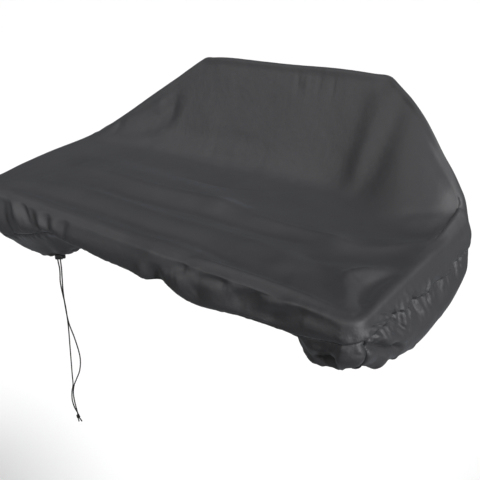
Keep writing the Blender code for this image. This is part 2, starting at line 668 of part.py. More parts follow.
# ---------------------------------------------------------------- the cord pieces
def build_tube(name, route, points, material, collection):
    """A cord's tube on a smooth curve through the route's points."""
    knots = [0.0]
    for a, b in zip(route, route[1:]):
        knots.append(knots[-1] + (Vector(b) - Vector(a)).length)
    curve = bpy.data.curves.new(name, "CURVE")
    curve.dimensions = "3D"
    curve.bevel_depth = CORD_RADIUS
    curve.bevel_resolution = CORD_SIDES_LEVEL
    curve.use_fill_caps = True
    spline = curve.splines.new("POLY")
    spline.points.add(points - 1)
    for k, point in enumerate(spline.points):
        point.co = (*smooth(knots, route, knots[-1] * k / (points - 1)), 1.0)
    curve.materials.append(material)
    thing = bpy.data.objects.new(name, curve)
    collection.objects.link(thing)
    return thing


def add_rod(name, radius, length, segments, turn, place, collection, material):
    """A plain cylinder with its axis along its own Z, turned and placed."""
    bm = bmesh.new()
    bmesh.ops.create_cone(bm, cap_ends=True, segments=segments, radius1=radius, radius2=radius,
                          depth=length)
    thing = add_mesh(name, bm, material, collection)
    thing.rotation_euler = turn
    thing.location = place
    return thing


def cut(thing, cutter, operation="DIFFERENCE"):
    boolean = thing.modifiers.new(cutter.name, "BOOLEAN")
    boolean.object = cutter
    boolean.operation = operation
    cutter.hide_render = True
    cutter.display_type = "WIRE"


def round_ends(thing, width):
    bevel = thing.modifiers.new("Round ends", "BEVEL")
    bevel.width = width
    bevel.segments = 2
    bevel.limit_method = "ANGLE"
    bevel.angle_limit = pi / 4


def lock_direction():
    return Vector((cos(LOCK_TURN), sin(LOCK_TURN), 0.0))


def mouth_place(side):
    """Where the middle of a strand's mouth lies, -1 for the left strand and 1 for the right."""
    shift = lock_direction() * (side * MOUTH_SPACING / 2 - BUTTON_OUT / 2 + MOUTH_SHIFT)
    return LOCK_CENTRE + shift + Vector((0, 0, -LOCK_RADIUS))


def build_lock(material, collection, cutters):
    lying = (0.0, pi / 2, LOCK_TURN)
    body_place = LOCK_CENTRE - lock_direction() * (BUTTON_OUT / 2)
    body = add_rod("cord_lock", LOCK_RADIUS, LOCK_LENGTH, 24, lying, body_place, collection, material)
    round_ends(body, LOCK_ROUNDING)
    face = LOCK_CENTRE + lock_direction() * (LOCK_LENGTH / 2 - BUTTON_OUT / 2)
    button_place = face + lock_direction() * (BUTTON_OUT - BUTTON_LENGTH / 2)
    button = add_rod("cord_lock_button", BUTTON_RADIUS, BUTTON_LENGTH, 20, lying, button_place,
                     collection, material)
    round_ends(button, BUTTON_ROUNDING)
    bore_length = 2 * (BUTTON_LENGTH - BUTTON_OUT + BUTTON_PLAY)
    bore = add_rod("lock_bore", BUTTON_RADIUS + BUTTON_PLAY, bore_length, 20, lying, face,
                   cutters, material)
    cut(body, bore)
    for side in (-1, 1):
        mouth = add_rod("lock_mouth", MOUTH_RADIUS, 2 * MOUTH_DEPTH, 12, (0, 0, 0),
                        mouth_place(side), cutters, material)
        cut(body, mouth)


def build_strands(material, collection):
    for name, side, route in (("cord_strand_left", -1, LEFT_STRAND),
                              ("cord_strand_right", 1, RIGHT_STRAND)):
        start = mouth_place(side) + Vector((0, 0, MOUTH_DEPTH - TOUCH))
        below = mouth_place(side) - Vector((0, 0, STRAIGHT_RUN))
        build_tube(name, (tuple(start), tuple(below)) + route, CORD_POINTS, material, collection)
    build_tube("corner_cord", CORNER_CORD, CORNER_CORD_POINTS, material, collection)


def build_knot(material, collection, cutters):
    bm = bmesh.new()
    bmesh.ops.create_uvsphere(bm, u_segments=16, v_segments=10, radius=1.0)
    for vert in bm.verts:
        around = atan2(vert.co.y, vert.co.x)
        wrap = 1 + KNOT_WRAP_DEPTH * sin(KNOT_WRAPS * pi * vert.co.z + 2 * around)
        for axis in range(3):
            vert.co[axis] *= KNOT_RADII[axis] * (wrap if axis < 2 else 1.0)
    knot = add_mesh("cord_knot", bm, material, collection)
    knot.location = KNOT_CENTRE
    for number, (start, end) in enumerate(CORD_ENDS):
        line = Vector(end) - Vector(start)
        turn = Vector((0, 0, 1)).rotation_difference(line).to_euler()
        middle = (Vector(start) + Vector(end)) / 2
        radius = CORD_RADIUS * (1 - END_THINNING * number)
        stub = add_rod("cord_end_" + str(number), radius, line.length, 12, turn, middle, cutters,
                       material)
        cut(knot, stub, "UNION")


# ---------------------------------------------------------------- build
def build():
    clear_scene()
    cover = new_collection("piano_cover")
    cutters = new_collection("cutters")
    cloth = new_material("cover_cloth")
    skirt_cloth = new_material("skirt_cloth")
    plastic = new_material("lock_plastic")
    yarn = new_material("cord_yarn")
    build_top_panel(cloth, cover)
    for side in SIDES:
        build_skirt(side, skirt_cloth, cover)
    build_lock(plastic, cover, cutters)
    build_strands(yarn, cover)
    build_knot(yarn, cover, cutters)


build()
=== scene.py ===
"""The looks of a fitted cover for an electric piano: its cloth, seams, gathers, cord and lock.

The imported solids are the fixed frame.  Each cloth piece here is a thin sheet that lies on the folds
of its solid, so the tables of sizes from the solids come first, and the finer gathers, creases,
seams and stitches follow in tables of their own.

Tables that metres() or puckers() reads are in millimetres, and so are the creases and gathers.
All else is in metres.  +Z is up.  The origin is the middle of the flat top that carries the cover.
X runs along the length to the right end, Y to the back.  The level of a point on a side counts its
section's own points: 0 on the top, 4 at the seam, 7 at the hem.
"""

from math import cos, pi, radians, sin, sqrt

import bpy
import numpy as np
from mathutils import Matrix, Vector, noise
from numpy.linalg import norm


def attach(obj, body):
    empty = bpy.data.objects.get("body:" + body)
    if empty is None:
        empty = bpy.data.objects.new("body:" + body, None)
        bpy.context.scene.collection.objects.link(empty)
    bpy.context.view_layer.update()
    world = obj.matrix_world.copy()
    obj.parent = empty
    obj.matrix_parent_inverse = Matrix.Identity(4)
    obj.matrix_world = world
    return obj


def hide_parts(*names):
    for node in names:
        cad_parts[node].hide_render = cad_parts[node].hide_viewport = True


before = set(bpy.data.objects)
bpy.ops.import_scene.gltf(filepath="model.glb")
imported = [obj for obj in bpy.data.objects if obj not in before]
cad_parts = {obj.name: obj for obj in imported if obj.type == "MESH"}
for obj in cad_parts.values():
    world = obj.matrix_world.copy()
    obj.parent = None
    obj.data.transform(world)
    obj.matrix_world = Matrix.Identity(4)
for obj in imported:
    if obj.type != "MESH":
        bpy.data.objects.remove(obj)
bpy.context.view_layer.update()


def metres(*rows):
    """Rows of lengths in millimetres, in metres."""
    return [tuple(value / 1000 for value in row) for row in rows]


def puckers(*rows):
    """Rows of puckers: four lengths in millimetres come out in metres, two levels as they are."""
    return [metres(row[:4])[0] + row[4:] for row in rows]


# ---- driving sizes
HALF_LENGTH = 0.478
HALF_DEPTH = 0.184
CORNER_RADIUS = 0.026  # rounding of the corners, seen from above
TIGHT_RADIUS = 0.014  # the same where the hem is drawn in
CREST_INSET = 0.018  # where the crest begins to turn down
START_STEPS = (2.2, 1.0)  # a section's first two points, in crest insets from its edge
CREST_NEAR = 0.3  # its top point, in crest radii in from the edge and down
CREST_DROP = 1.2  # its end, in crest radii below the top
SHARP_INSET = 0.5  # part of the inset that is lost along the rest's thin top edge
TOP_SLOPE = 0.072  # the top rises this much per metre towards the back
FACE_BLEND = 0.10  # how far the foot of the face is rounded, in parts of its rise
LEAST_RISE = 0.0005  # of the face, where it runs out at the ends
FOLDS_END = 1.5  # level at which the top's folds have faded out

# The rest's top edge and the two slopes from it to the back corners.
# x, y, z
RIDGE = metres(
    (-478, 184, 20), (-466, 186, 29), (-440, 192, 44), (-403, 204, 68), (-333, 226.5, 115),
    (-267, 248, 159), (-206, 268, 201), (-188, 273, 212), (-165, 273, 214.8), (0, 273, 217),
    (235, 273, 216.5), (266, 273, 214), (288, 263, 204), (319, 250, 187), (359, 232, 157),
    (409, 210, 105), (432.6, 200, 81), (452.6, 191, 57), (467, 186, 43), (478, 184, 30),
)
RIDGE_RISE = max(z - TOP_SLOPE * y for x, y, z in RIDGE)

# How far the cloth stands above (or droops below) the sloping top along its two ends.
# y, left end, right end
END_LIFT = metres(
    (-184, -10, -2), (-106, -7, 1), (-45, 0, 3), (25, 4, 4), (100, 6, 2), (150, 7, 7), (184, 7, 17),
)
END_LIFT_REACH = 0.070  # how far in from an end the lift fades

# Where the steep face over the rest meets the top.
# x, y
FOOT = metres(
    (-478, 120), (-350, 145), (-188, 160), (50, 162), (266, 150), (360, 110), (478, 70),
)

# The sections of each side.  "out" is measured outwards from the side's upright plane.
# place, crest radius, bulge, seam z, seam out, belly z, belly out, low z, low out, hem z, hem out
FRONT = metres(
    (-478, 13, 3, -60, 3, -82, 5, -100, -12, -98, -40),
    (-430, 15, 4, -86, 0, -106, -12, -120, -28, -116, -52),
    (-385, 16, 6, -97, -1, -120, -18, -138, -34, -130, -56),
    (-350, 17, 5, -104, -2, -124, -18, -142, -34, -134, -56),
    (-320, 17, 4, -94, -2, -118, -18, -141, -34, -133, -56),
    (-263, 18, 3, -80, -2, -108, -18, -134, -34, -128, -56),
    (-240, 18, 2, -71, -2, -100, -18, -122.5, -34, -119, -56),
    (-222, 18, 2, -65, -2, -94, -18, -120.5, -34, -116, -56),
    (-189, 18, 1, -59, -3, -76, -18, -99, -34, -100, -56),
    (-151, 18, 2, -66, -3, -73, -18, -83, -34, -88, -56),
    (-100, 18, 2, -66, -3, -72, -18, -78, -34, -84, -56),
    (-40, 17, 2, -70, -3, -75, -18, -79, -34, -84, -56),
    (30, 16, 1, -71, -3, -76, -18, -80, -34, -84, -56),
    (66, 15, 2, -74, -3, -78, -18, -82, -34, -85, -56),
    (103, 14, 0, -64, -4, -72, -18, -79, -34, -84, -56),
    (140, 13, 4, -74, -3, -80, -18, -84, -34, -86, -56),
    (180, 13, 5, -83, -3, -88, -18, -90, -34, -90, -56),
    (225, 12, 3, -78, -3, -84, -18, -88, -34, -89, -56),
    (277, 12, -1, -70, -4, -78, -18, -84, -34, -87, -56),
    (330, 11, -1, -66, -4, -76, -18, -84, -34, -87, -56),
    (380, 11, 1, -65, -3, -74, -16, -83, -32, -88, -54),
    (396, 10, 2, -62, -3, -88, -12, -108, -26, -106, -50),
    (414, 10, 3, -58, -2, -90, -8, -113, -24, -109, -48),
    (440, 10, 3, -52, -1, -84, -5, -108, -20, -106, -44),
    (456, 10, 2, -48, 1, -71, 2, -93, -13, -95, -40),
    (478, 10, 2, -44, 3, -66, 6, -86, -8, -88, -36),
)
RIGHT_END = metres(
    (-184, 10, 2, -44, 3, -66, 6, -86, -8, -88, -36),
    (-158, 10, 3, -38, 4, -63, 8, -86, -6, -88, -35),
    (-146, 10, 3, -37, 4, -66, 9, -92, -4, -92, -34),
    (-126, 10, 3, -37, 4, -74, 12, -108, -2, -102, -33),
    (-106, 10, 3, -37, 4, -75, 12, -109, -2, -103, -34),
    (-70, 10, 4, -39, 4, -80, 14, -120, -2, -112, -36),
    (-40, 11, 4, -41, 4, -84, 16, -127, -2, -118, -38),
    (5, 11, 4, -44, 4, -88, 17, -131, -2, -122, -40),
    (55, 11, 5, -44, 4, -86, 16, -128, -4, -120, -42),
    (100, 11, 5, -40, 5, -82, 14, -123, -6, -116, -42),
    (145, 10, 6, -32, 5, -74, 9, -113, -10, -108, -42),
    (184, 8, 7, -28, 5, -68, 3, -103, -16, -102, -42),
)
BACK = metres(
    (-478, 8, 3, -42, 3, -76, 1, -104, -16, -104, -42),
    (-400, 7, 2, -50, 4, -84, 1, -118, -18, -116, -44),
    (-250, 6, 3, -54, 6, -86, -3, -120, -22, -118, -48),
    (-60, 6, 3, -52, 7, -84, -4, -118, -24, -116, -50),
    (120, 6, 3, -56, 7, -88, -4, -122, -24, -119, -50),
    (290, 6, 3, -52, 6, -84, -2, -118, -22, -116, -48),
    (410, 7, 2, -42, 5, -80, 2, -112, -18, -110, -44),
    (478, 8, 7, -28, 5, -68, 3, -103, -16, -102, -42),
)
LEFT_END = metres(
    (-184, 13, 3, -60, 3, -82, 5, -100, -12, -98, -40),
    (-140, 13, 3, -56, 3, -88, 10, -120, -6, -114, -38),
    (-70, 12, 4, -54, 3, -88, 12, -126, -8, -118, -40),
    (0, 12, 4, -56, 3, -92, 13, -132, -8, -124, -42),
    (80, 11, 4, -54, 4, -88, 10, -126, -10, -120, -42),
    (140, 10, 4, -48, 4, -82, 6, -120, -12, -114, -42),
    (184, 8, 3, -42, 3, -76, 1, -104, -16, -104, -42),
)

# Soft ridges (height > 0) and troughs (height < 0) of the top panel, seen from above.
# x0, y0, x1, y1, half width, height
TOP_FOLDS = metres(
    (-300, 22, 80, 10, 28, 4), (80, 10, 330, 0, 26, 3.5), (330, 0, 450, 50, 24, 3),
    (-360, 90, 60, 80, 30, -3), (100, 75, 420, 85, 34, -3), (-400, 176, -245, 212, 15, -6),
    (262, 245, 262, 180, 24, 5), (-300, -60, 200, -75, 30, -2.5), (300, -110, 440, -60, 22, 3.5),
    (330, -60, 430, -10, 24, -3.5),
)

# Puckers down a side.  A pucker is strongest at its own level and leans as it goes down.
# place, half width, out, lean per level, level, reach in levels
FRONT_FOLDS = puckers(
    (-440, 14, 5, 6, 3.6, 1.8), (-405, 13, -6, 7, 3.4, 1.8), (-372, 12, 6, 7, 3.6, 1.8),
    (-336, 12, -6, 10, 3.2, 1.8), (-300, 12, 5, 20, 2.3, 1.8), (-267, 9, -4.5, 20, 2.3, 1.7),
    (-238, 10, -4.5, 14, 2.8, 1.8), (-216, 11, 4.5, 12, 2.7, 1.8), (-200, 9, -4, 4, 2.6, 1.8),
    (-178, 11, 3, 3, 2.4, 1.6), (-150, 10, -4.5, -3, 2.5, 1.6), (70, 12, 3, 0, 3.4, 1.2),
    (100, 14, -6, 0, 3.6, 1.4), (150, 20, 4, 0, 3, 1.4), (190, 14, -4, 0, 3.2, 1),
    (225, 18, 3, 0, 3.2, 1.2), (300, 36, -6, 0, 2.9, 1.1), (405, 14, 5, 0, 5.6, 1.4),
    (432, 12, -5, 0, 5.4, 1.4), (455, 10, 5, 0, 5.2, 1.4),
)
RIGHT_FOLDS = puckers(
    (-158, 14, 2, 0, 5, 1.8), (-122, 14, 4, 2, 4.8, 1.6), (-92, 13, -4, 3, 4.1, 1.5),
    (-62, 14, 3.5, 3, 4.2, 1.5), (-30, 13, -4, 2, 4, 1.4), (6, 14, 3.5, 2, 4.2, 1.4),
    (42, 13, -3.5, 0, 4, 1.3), (78, 15, 3, 0, 4.2, 1.3), (114, 14, -3.5, -2, 4, 1.3),
)
LEFT_FOLDS = puckers(
    (-110, 14, -4.5, 3, 4.1, 1.6), (-70, 14, 4.5, 3, 4.1, 1.4), (-28, 14, -4, 0, 4, 1.4),
    (20, 15, 4, 0, 4.1, 1.4), (66, 14, -4, -2, 4, 1.3), (112, 15, 3.5, -2, 4.1, 1.3),
)
BACK_FOLDS = puckers(
    (-400, 22, 4, 0, 4.2, 1.4), (-330, 20, -5, 6, 3.8, 1.6), (-255, 22, 5, 8, 4, 1.6),
    (-160, 24, -5, 4, 3.7, 1.4), (-60, 22, 4.5, 0, 4, 1.4), (30, 24, -5, 0, 3.8, 1.4),
    (125, 24, 5, -4, 4, 1.4), (215, 22, -5, -8, 3.7, 1.6), (300, 22, 5, -6, 4, 1.6),
    (385, 20, -4, 0, 4, 1.4),
)

# Each side: its table of sections, its puckers, its half span, and the angle that it faces.
SIDES = {
    "front": (FRONT, FRONT_FOLDS, HALF_LENGTH, -pi / 2),
    "right": (RIGHT_END, RIGHT_FOLDS, HALF_DEPTH, 0.0),
    "back": (BACK, BACK_FOLDS, HALF_LENGTH, pi / 2),
    "left": (LEFT_END, LEFT_FOLDS, HALF_DEPTH, pi),
}

# ---- cord, lock and knot
CORD_RADIUS = 0.0014
LOCK_CENTRE = Vector((-0.2195, -0.1500, -0.1291))
LOCK_TURN = 0.69  # seen from above
LOCK_RADIUS = 0.0056
BUTTON_OUT = 0.005
MOUTH_DEPTH = 0.002
MOUTH_SPACING = 0.005
MOUTH_SHIFT = -0.001
STRAIGHT_RUN = 0.006  # of a strand below its mouth
TOUCH = 0.0003  # gap between pieces that touch
KNOT_CENTRE = Vector((-0.2390, -0.1505, -0.5385))

# Routes of the two strands below their mouths.
# x, y, z
LEFT_STRAND = metres(
    (-226.2, -151.5, -153), (-230, -149.5, -168), (-234.5, -149, -190), (-232.5, -149, -218),
    (-229, -149, -242), (-228.5, -149, -288), (-234, -149, -350), (-238.5, -149, -398),
    (-241.5, -149, -428), (-243.5, -149, -452), (-253, -149, -480), (-256, -149, -505),
    (-250, -149, -523), (-241.2, -149, -532),
)
RIGHT_STRAND = metres(
    (-219.5, -151.2, -153), (-221.2, -151.8, -174), (-225, -152, -216), (-225, -152, -240),
    (-220, -152, -285), (-206.5, -152, -318), (-197, -152, -360), (-204.5, -152, -395),
    (-222, -152, -427), (-236, -152, -452), (-243, -152, -477), (-242.5, -152, -500),
    (-238.5, -152, -523), (-237.2, -152, -531.5),
)
# The two short ends of the cord below the knot, each as its two ends, and how far they bow.
CORD_ENDS = (
    metres((-238.5, -150.5, -540), (-228.5, -149.5, -549)),
    metres((-239.2, -150.5, -540), (-236.5, -152, -551.5)),
)
END_BOW = 0.0012
# The bit of the hem cord that shows under the front right corner.
CORNER_CORD = metres(
    (464.5, -170, -88.4), (468, -166.5, -89.6), (470, -162, -90.3), (470.5, -158, -90.4),
    (470, -154.5, -90),
)

BRAID_SIDES = 16
BRAID_STRANDS = 8
BRAID_PITCH = 0.0042
BRAID_DEPTH = 0.10
BRAID_STEP = 0.0007
BRAID_START = (0.31, 0.87, 0.38)  # any direction askew to the cords
KNOT_POINTS = 90
KNOT_LOOP = 0.001
KNOT_HEIGHT = 0.0036

# ---- finer sizes of the sheets
SHEET_OUT = 0.0009  # of the sheet's inner face from the solid's inner face
SHEET_THICKNESS = 0.0005
PANEL_COLUMNS = 236
PANEL_RIGHT_DENSE = 0.030  # the panel's rows are closer up to this y, for the right gathers
PANEL_ROW = 0.0027
PANEL_WIDE_ROW = 0.0052
CORNER_STEPS = 6  # stations on half a rounded corner
SKIRT_STEP = 0.003
SKIRT_GAP = 0.0002  # between two skirt pieces at a corner seam, before both turn in

# Rings of a cloth piece going down, closer near the seam.
# from level, to level, steps
PANEL_RINGS = ((0.0, 2.0, 9), (2.0, 3.3, 8), (3.3, 4.0, 10))
SKIRT_RINGS = ((4.0, 4.6, 9), (4.6, 6.0, 15), (6.0, 7.0, 16))

SEAM_TUCK = 0.0022  # the sheets turn in this far at a seam
SEAM_TUCK_WIDTH = 0.0024
SEAM_HOLD = 0.65  # part of the creases' height that the sewing holds flat at a seam
SEAM_HOLD_WIDTH = 0.004
HEM_CHANNEL_LEVEL = 6.62  # middle of the channel that the cord runs in
HEM_CHANNEL_REACH = 0.3  # in levels
HEM_CHANNEL_HEIGHT = 0.0024
WAVE_HEIGHT = 0.0009  # slow unevenness of all the cloth
WAVE_LENGTH = 0.085
FINE_WAVE_HEIGHT = 0.00025
FINE_WAVE_LENGTH = 0.022
CRINKLE_REACH = 0.022  # how far fine crinkles spread from a seam

STITCH_LENGTH = 0.0024
STITCH_SPACE = 0.001
STITCH_RADIUS = 0.00028
STITCH_SIDES = 6
STITCH_SUNK = 0.5  # radii
STITCH_PROFILE = ((-1.0, 0.35), (-0.7, 0.9), (0.0, 1.0), (0.7, 0.9), (1.0, 0.35))
HEM_STITCH_LEVEL = 6.30

# Creases and soft ridges of the sides, finer than those of the solids.
# half width, height, then the place and the level of each point
RIGHT_CREASES = (
    # above and across the seam
    (2.4, -2.6, -126, 1.8, -111, 2.6, -91, 3.9), (3, 1.6, -133, 2.1, -118, 2.9, -98, 3.9),
    (2.4, -2.6, -154, 2.2, -128, 3.4, -104, 4.3), (3.4, 1.6, -160, 2.6, -135, 3.7, -120, 4.2),
    (2.4, 3.4, -108, 4.05, -92, 4.45, -70, 4.9), (2.6, -3, -98, 4.05, -84, 4.4, -62, 4.8),
    (2.2, -2.2, -80, 4.02, -78, 4.45), (3, 2.4, -68, 4.05, -60, 4.6),
    (2.6, 1.8, -60, 2.2, -48, 3.2, -42, 3.95), (2.4, -2.2, -52, 2, -36, 3.2, -30, 3.95),
    (2.6, -3.4, -28, 3.9, -24, 4.25, -20, 4.6), (3.4, 2.4, -18, 4.05, -10, 4.6),
    (2.4, -3, 0, 3.6, 4, 4.1, 11, 4.5), (3, -2.4, 16, 2.6, 10, 3.2, 3, 3.8),
    (3.4, 1.8, 24, 2.9, 20, 3.9), (2.8, -1.8, 34, 3.3, 31, 4.4), (3.2, 1.5, 48, 3.4, 46, 4.3),
    (2.8, -1.5, 64, 3.2, 60, 4.2), (3, -1.4, 92, 3.3, 90, 4.4), (3, -1.2, 118, 3.2, 114, 4.2),
    # the shadowed fold over the second pouch
    (6, -12, -170, 4.3, -150, 4.62, -126, 4.9, -78, 5.4),
    (7, 5, -160, 4.1, -140, 4.3, -115, 4.6, -70, 5.1), (5, 3, -128, 4.2, -119, 4.38),
    (2.6, -2.2, -160, 4.05, -146, 4.34),
    # front right corner
    (3.4, 2.6, -183, 4.2, -177, 4.55), (2.6, -3, -180, 4.02, -175, 4.2, -171, 4.3),
)
FRONT_CREASES = (
    # front right corner
    (12, -12, 402, 5.35, 422, 5.25, 440, 5), (6, 3.2, 398, 4.5, 420, 4.45, 442, 4.3),
    (7.5, 2, 456.5, 2.6, 462, 4, 468, 4.7), (4.5, -2.4, 473.5, 2.4, 475, 3.7, 476, 4.5),
    # the left end's gathers, made softer
    (12, -2.6, -440, 1.9, -442, 2.8, -440, 3.7), (11, -3, -376, 2.2, -372, 3, -370, 3.8),
    (10, 2.4, -405, 2.4, -404, 3.2, -402, 3.8),
    # the wide rounded crest
    (28, -8.4, -440, 0.8, -300, 0.8, -100, 0.8, 60, 0.8, 100, 0.8),
    (20, -7.8, 110, 0.9, 200, 1.05, 300, 1.15, 400, 1.1),
    # from the dimple to the corner
    (9, -3.4, 115, 2.6, 132, 2.35, 150, 2.1, 168, 1.65), (6, 1.4, 170, 1.7, 177, 1.2, 184, 0.8),
    (16, -4.2, 190, 3.2, 214, 2.95, 238, 2.9), (14, -3.2, 128, 3.3, 140, 3.1, 156, 2.7),
    (6, 1.4, 194, 1.85, 220, 1.25, 244, 1, 262, 1.45),
    (7.5, -3, 188, 2.45, 212, 2.05, 236, 1.9, 248, 2.15), (11, -5.8, 264, 2.85, 290, 2.35, 315, 2.05),
    (7.5, 2.6, 290, 3.2, 320, 2.55, 352, 1.7, 385, 1.05, 420, 0.85),
    (12, -5.8, 322, 3.55, 348, 3, 380, 2.25, 405, 1.85, 430, 1.75),
)

# Soft ridges and troughs of the top, finer than those of the solids.
# half width, height, then x and y of each point
TOP_CREASES = (
    # rolls that run along the front edge
    (11, 3.6, -400, -156, -160, -158, 60, -157, 150, -152),
    (5.5, 3.2, 170, -162, 223, -159, 300, -157, 373, -160, 441, -167),
    (17, -7.8, -360, -136, -190, -129, -80, -127, 30, -128, 150, -124, 220, -134, 320, -136),
    (19, 7.6, -330, -88, -150, -83, 15, -86, 153, -80, 240, -82, 330, -86),
    (19, -8.2, -200, -44, -60, -40, 82, -30, 200, -30, 320, -24),
    (15, 6, -344, 4, -167, 0, -82, 0, 38, 10, 132, 13), (24, 3.6, -300, 44, -150, 46, 20, 50),
    (28, -4, -300, 104, -150, 106, 40, 108), (7, 2, 150, 4, 203, 0, 326, 3),
    (10, 1.8, 300, 4, 369, 0, 408, 18, 446, 60),
    # the foot of the rest
    (7, -1.8, -100, 82, -20, 83, 30, 88, 85, 105, 150, 128),
    (8, 2.8, -285, 173, -209, 170, -150, 172, -79, 177, 20, 182),
    (8, -1.8, -240, 150, -132, 147, -21, 149, 40, 152),
    (6, -1.6, -226, 191, -162, 189, -88, 189, 21, 193),
    # the fold at the left of the rest, and the broad one down its right side
    (15, -3, -411, 159, -320, 173, -264, 189, -229, 205, -222, 222),
    (17, 4.6, -400, 182, -311, 203, -265, 221), (24, -2, 306, 250, 304, 220, 300, 190, 294, 165),
    (8, 2, 376, 207, 426, 185, 452, 175, 466, 166),
    # the right end of the foot
    (10, 2.2, 450, 60, 456, 95, 460, 125, 464, 150), (8, -1.8, 380, 113, 420, 124, 446, 140),
    # the flare at the front right corner, with the hollow beside it
    (12, 4.6, 450, -154, 430, -131, 411, -107, 405, -86, 414, -66, 434, -44),
    (22, 3, 400, -106, 408, -84), (13, -6.4, 458, -146, 446, -118, 442, -92, 447, -68, 456, -40),
    # puckers along the upper edge of the rest
    (4, -1, 68, 264, 74, 252, 81, 244), (5, 0.9, 90, 264, 95, 252, 101, 244),
    (4, -0.8, 120, 264, 123, 254, 128, 246), (4, -1, 152, 264, 155, 254, 160, 246),
)
CREASE_POINTS = 4  # of a crease's line for each point given
CREASE_REACH = 3.0  # half widths beyond which a crease has no height
CREASE_END_SHARE = 0.35  # part of its height that is left at its two ends
CREASE_GAIN = 4.0  # growth of its height from either end, per part of its length

# Rows of small random gathers.
# side, (from place, to place, spacing, height), level, reach above and below in levels
GATHERS = (
    ("right", (-165, 40, 8, 3.2), 4, 1.1, 0.6),
    ("right", (40, 165, 9, 2.2), 4, 0.9, 0.45),
    ("left", (-160, 160, 9.5, 1), 4, 0.7, 0.4),
    ("back", (-450, 450, 12, 1.2), 4, 0.25, 0.45),
    ("front", (-450, -160, 12, 1), 4, 0.6, 0.5),
    ("front", (-160, 450, 14, 0.7), 4, 0.2, 0.4),
    ("front", (-450, 450, 11, 1.6), 7, 1.1, 0),
    ("right", (-165, 165, 11, 1.8), 7, 1.2, 0),
    ("back", (-450, 450, 12, 1.8), 7, 1.2, 0),
    ("left", (-165, 165, 11, 1.8), 7, 1.2, 0),
)
GATHER_SEED = 7
GATHER_HALF_WIDTH = 0.0028  # of a small gather, at its middle
GATHER_STRENGTH = (0.45, 1.35)  # the ranges of the random draws
GATHER_LEAN = (-0.004, 0.004)
GATHER_REACH = (0.4, 1.3)
GATHER_WIDTH = (0.7, 1.3)
GATHER_STRIDE = (0.6, 1.4)

# ---- finishes, each as its dark colour, its light colour and its roughness
COVER_CLOTH = ((0.0190, 0.0190, 0.0208, 1), (0.0360, 0.0360, 0.0392, 1), 0.57)
SKIRT_CLOTH = ((0.0180, 0.0180, 0.0198, 1), (0.0345, 0.0345, 0.0380, 1), 0.53)
CORD_YARN = ((0.003, 0.003, 0.0034, 1), (0.012, 0.012, 0.013, 1), 0.74)
SEWING_THREAD = ((0.020, 0.020, 0.022, 1), (0.050, 0.050, 0.054, 1), 0.60)
LOCK_PLASTIC = ((0.006, 0.006, 0.006, 1), (0.016, 0.016, 0.017, 1), 0.36)
FLOOR_PAINT = ((0.96, 0.96, 0.96, 1), (0.98, 0.98, 0.98, 1), 0.9)
DUST = (0.16, 0.16, 0.165, 1)
SHEEN_TINT = (0.80, 0.84, 0.92, 1)
WHITE = (1.0, 1.0, 1.0)
THREAD_PITCH = 0.00065
THREAD_DEPTH = 0.00006
CRINKLE_DEPTH = 0.004

# ---- stage
CAMERA_PLACE = (0.8205, -0.8211, 0.4264)
CAMERA_FORWARD = (-0.58891, 0.69861, -0.40636)
CAMERA_RIGHT = (0.76952, 0.63838, -0.01771)
CAMERA_LENS = 48.63
FLOOR_HEIGHT = -1.60
FLOOR_SIZE = 160.0

# The light from all around: its strength fades below the horizon.
# strength at the lowest and highest direction, then the two directions
WORLD_FADE = (0.17, 0.02, -0.50, 0.35)

# name, azimuth, elevation, strength, spread in degrees, colour
SUNS = (
    ("key", -28.0, 42.0, 1.14, 14.0, WHITE),
    ("fill_left", -70.0, 66.0, 0.24, 24.0, WHITE),
    ("fill_front", -8.0, 2.0, 0.44, 30.0, WHITE),
    ("fill_right", 92.0, 48.0, 2.90, 22.0, WHITE),
    ("rim_right", 78.0, 4.0, 2.50, 8.0, (0.98, 0.98, 1.0)),
)


# ---- curves through table rows
def distances(points):
    """Distance of each point from the first, along rows of points on the first axis."""
    strides = norm(np.diff(points, axis=0), axis=-1)
    return np.concatenate([np.zeros_like(strides[:1]), np.cumsum(strides, axis=0)])


def bell(away, half_width):
    """A soft bump: 1 at its middle and nearly 0 two half widths away from it."""
    return np.exp(-(away / half_width) ** 2)


def segment_distance(points, start, end):
    """Distance of each point from a segment, and the part of the segment up to its nearest spot."""
    step = end - start
    part = np.clip((points - start) @ step / (step @ step), 0.0, 1.0)
    return norm(points - start - part[:, None] * step, axis=1), part


def row_slopes(knots, values):
    """Slopes of the smooth curves through values (rows along the first axis) at their knots."""
    steps = np.diff(knots, axis=0)
    rises = np.diff(values, axis=0) / steps
    slopes = np.empty_like(values)
    slopes[0], slopes[-1] = rises[0], rises[-1]
    slopes[1:-1] = (rises[:-1] * steps[1:] + rises[1:] * steps[:-1]) / (steps[1:] + steps[:-1])
    return slopes


def cubic(a, b, slope_a, slope_b, f):
    """The smooth step from a to b, with the slopes given for the whole step."""
    return (((2 * a + slope_a - 2 * b + slope_b) * f + 3 * b - 3 * a - 2 * slope_a - slope_b) * f
            + slope_a) * f + a


def table_at(table, places):
    """The columns of a table, each as an array, at places between its rows."""
    rows = np.array(table, float)
    knots, values = rows[:, :1], rows[:, 1:]
    slopes = row_slopes(knots, values)
    places = np.clip(np.atleast_1d(places), knots[0, 0], knots[-1, 0])
    i = np.clip(np.searchsorted(knots[:, 0], places) - 1, 0, len(rows) - 2)
    span = knots[i + 1] - knots[i]
    f = (places[:, None] - knots[i]) / span
    return cubic(values[i], values[i + 1], slopes[i] * span, slopes[i + 1] * span, f).T


def curve_points(route, count):
    """Points spaced evenly on the smooth curve through a route's points."""
    route = np.array(route, float)
    knots = distances(route)
    return table_at(np.c_[knots, route], np.linspace(0, knots[-1], count)).T


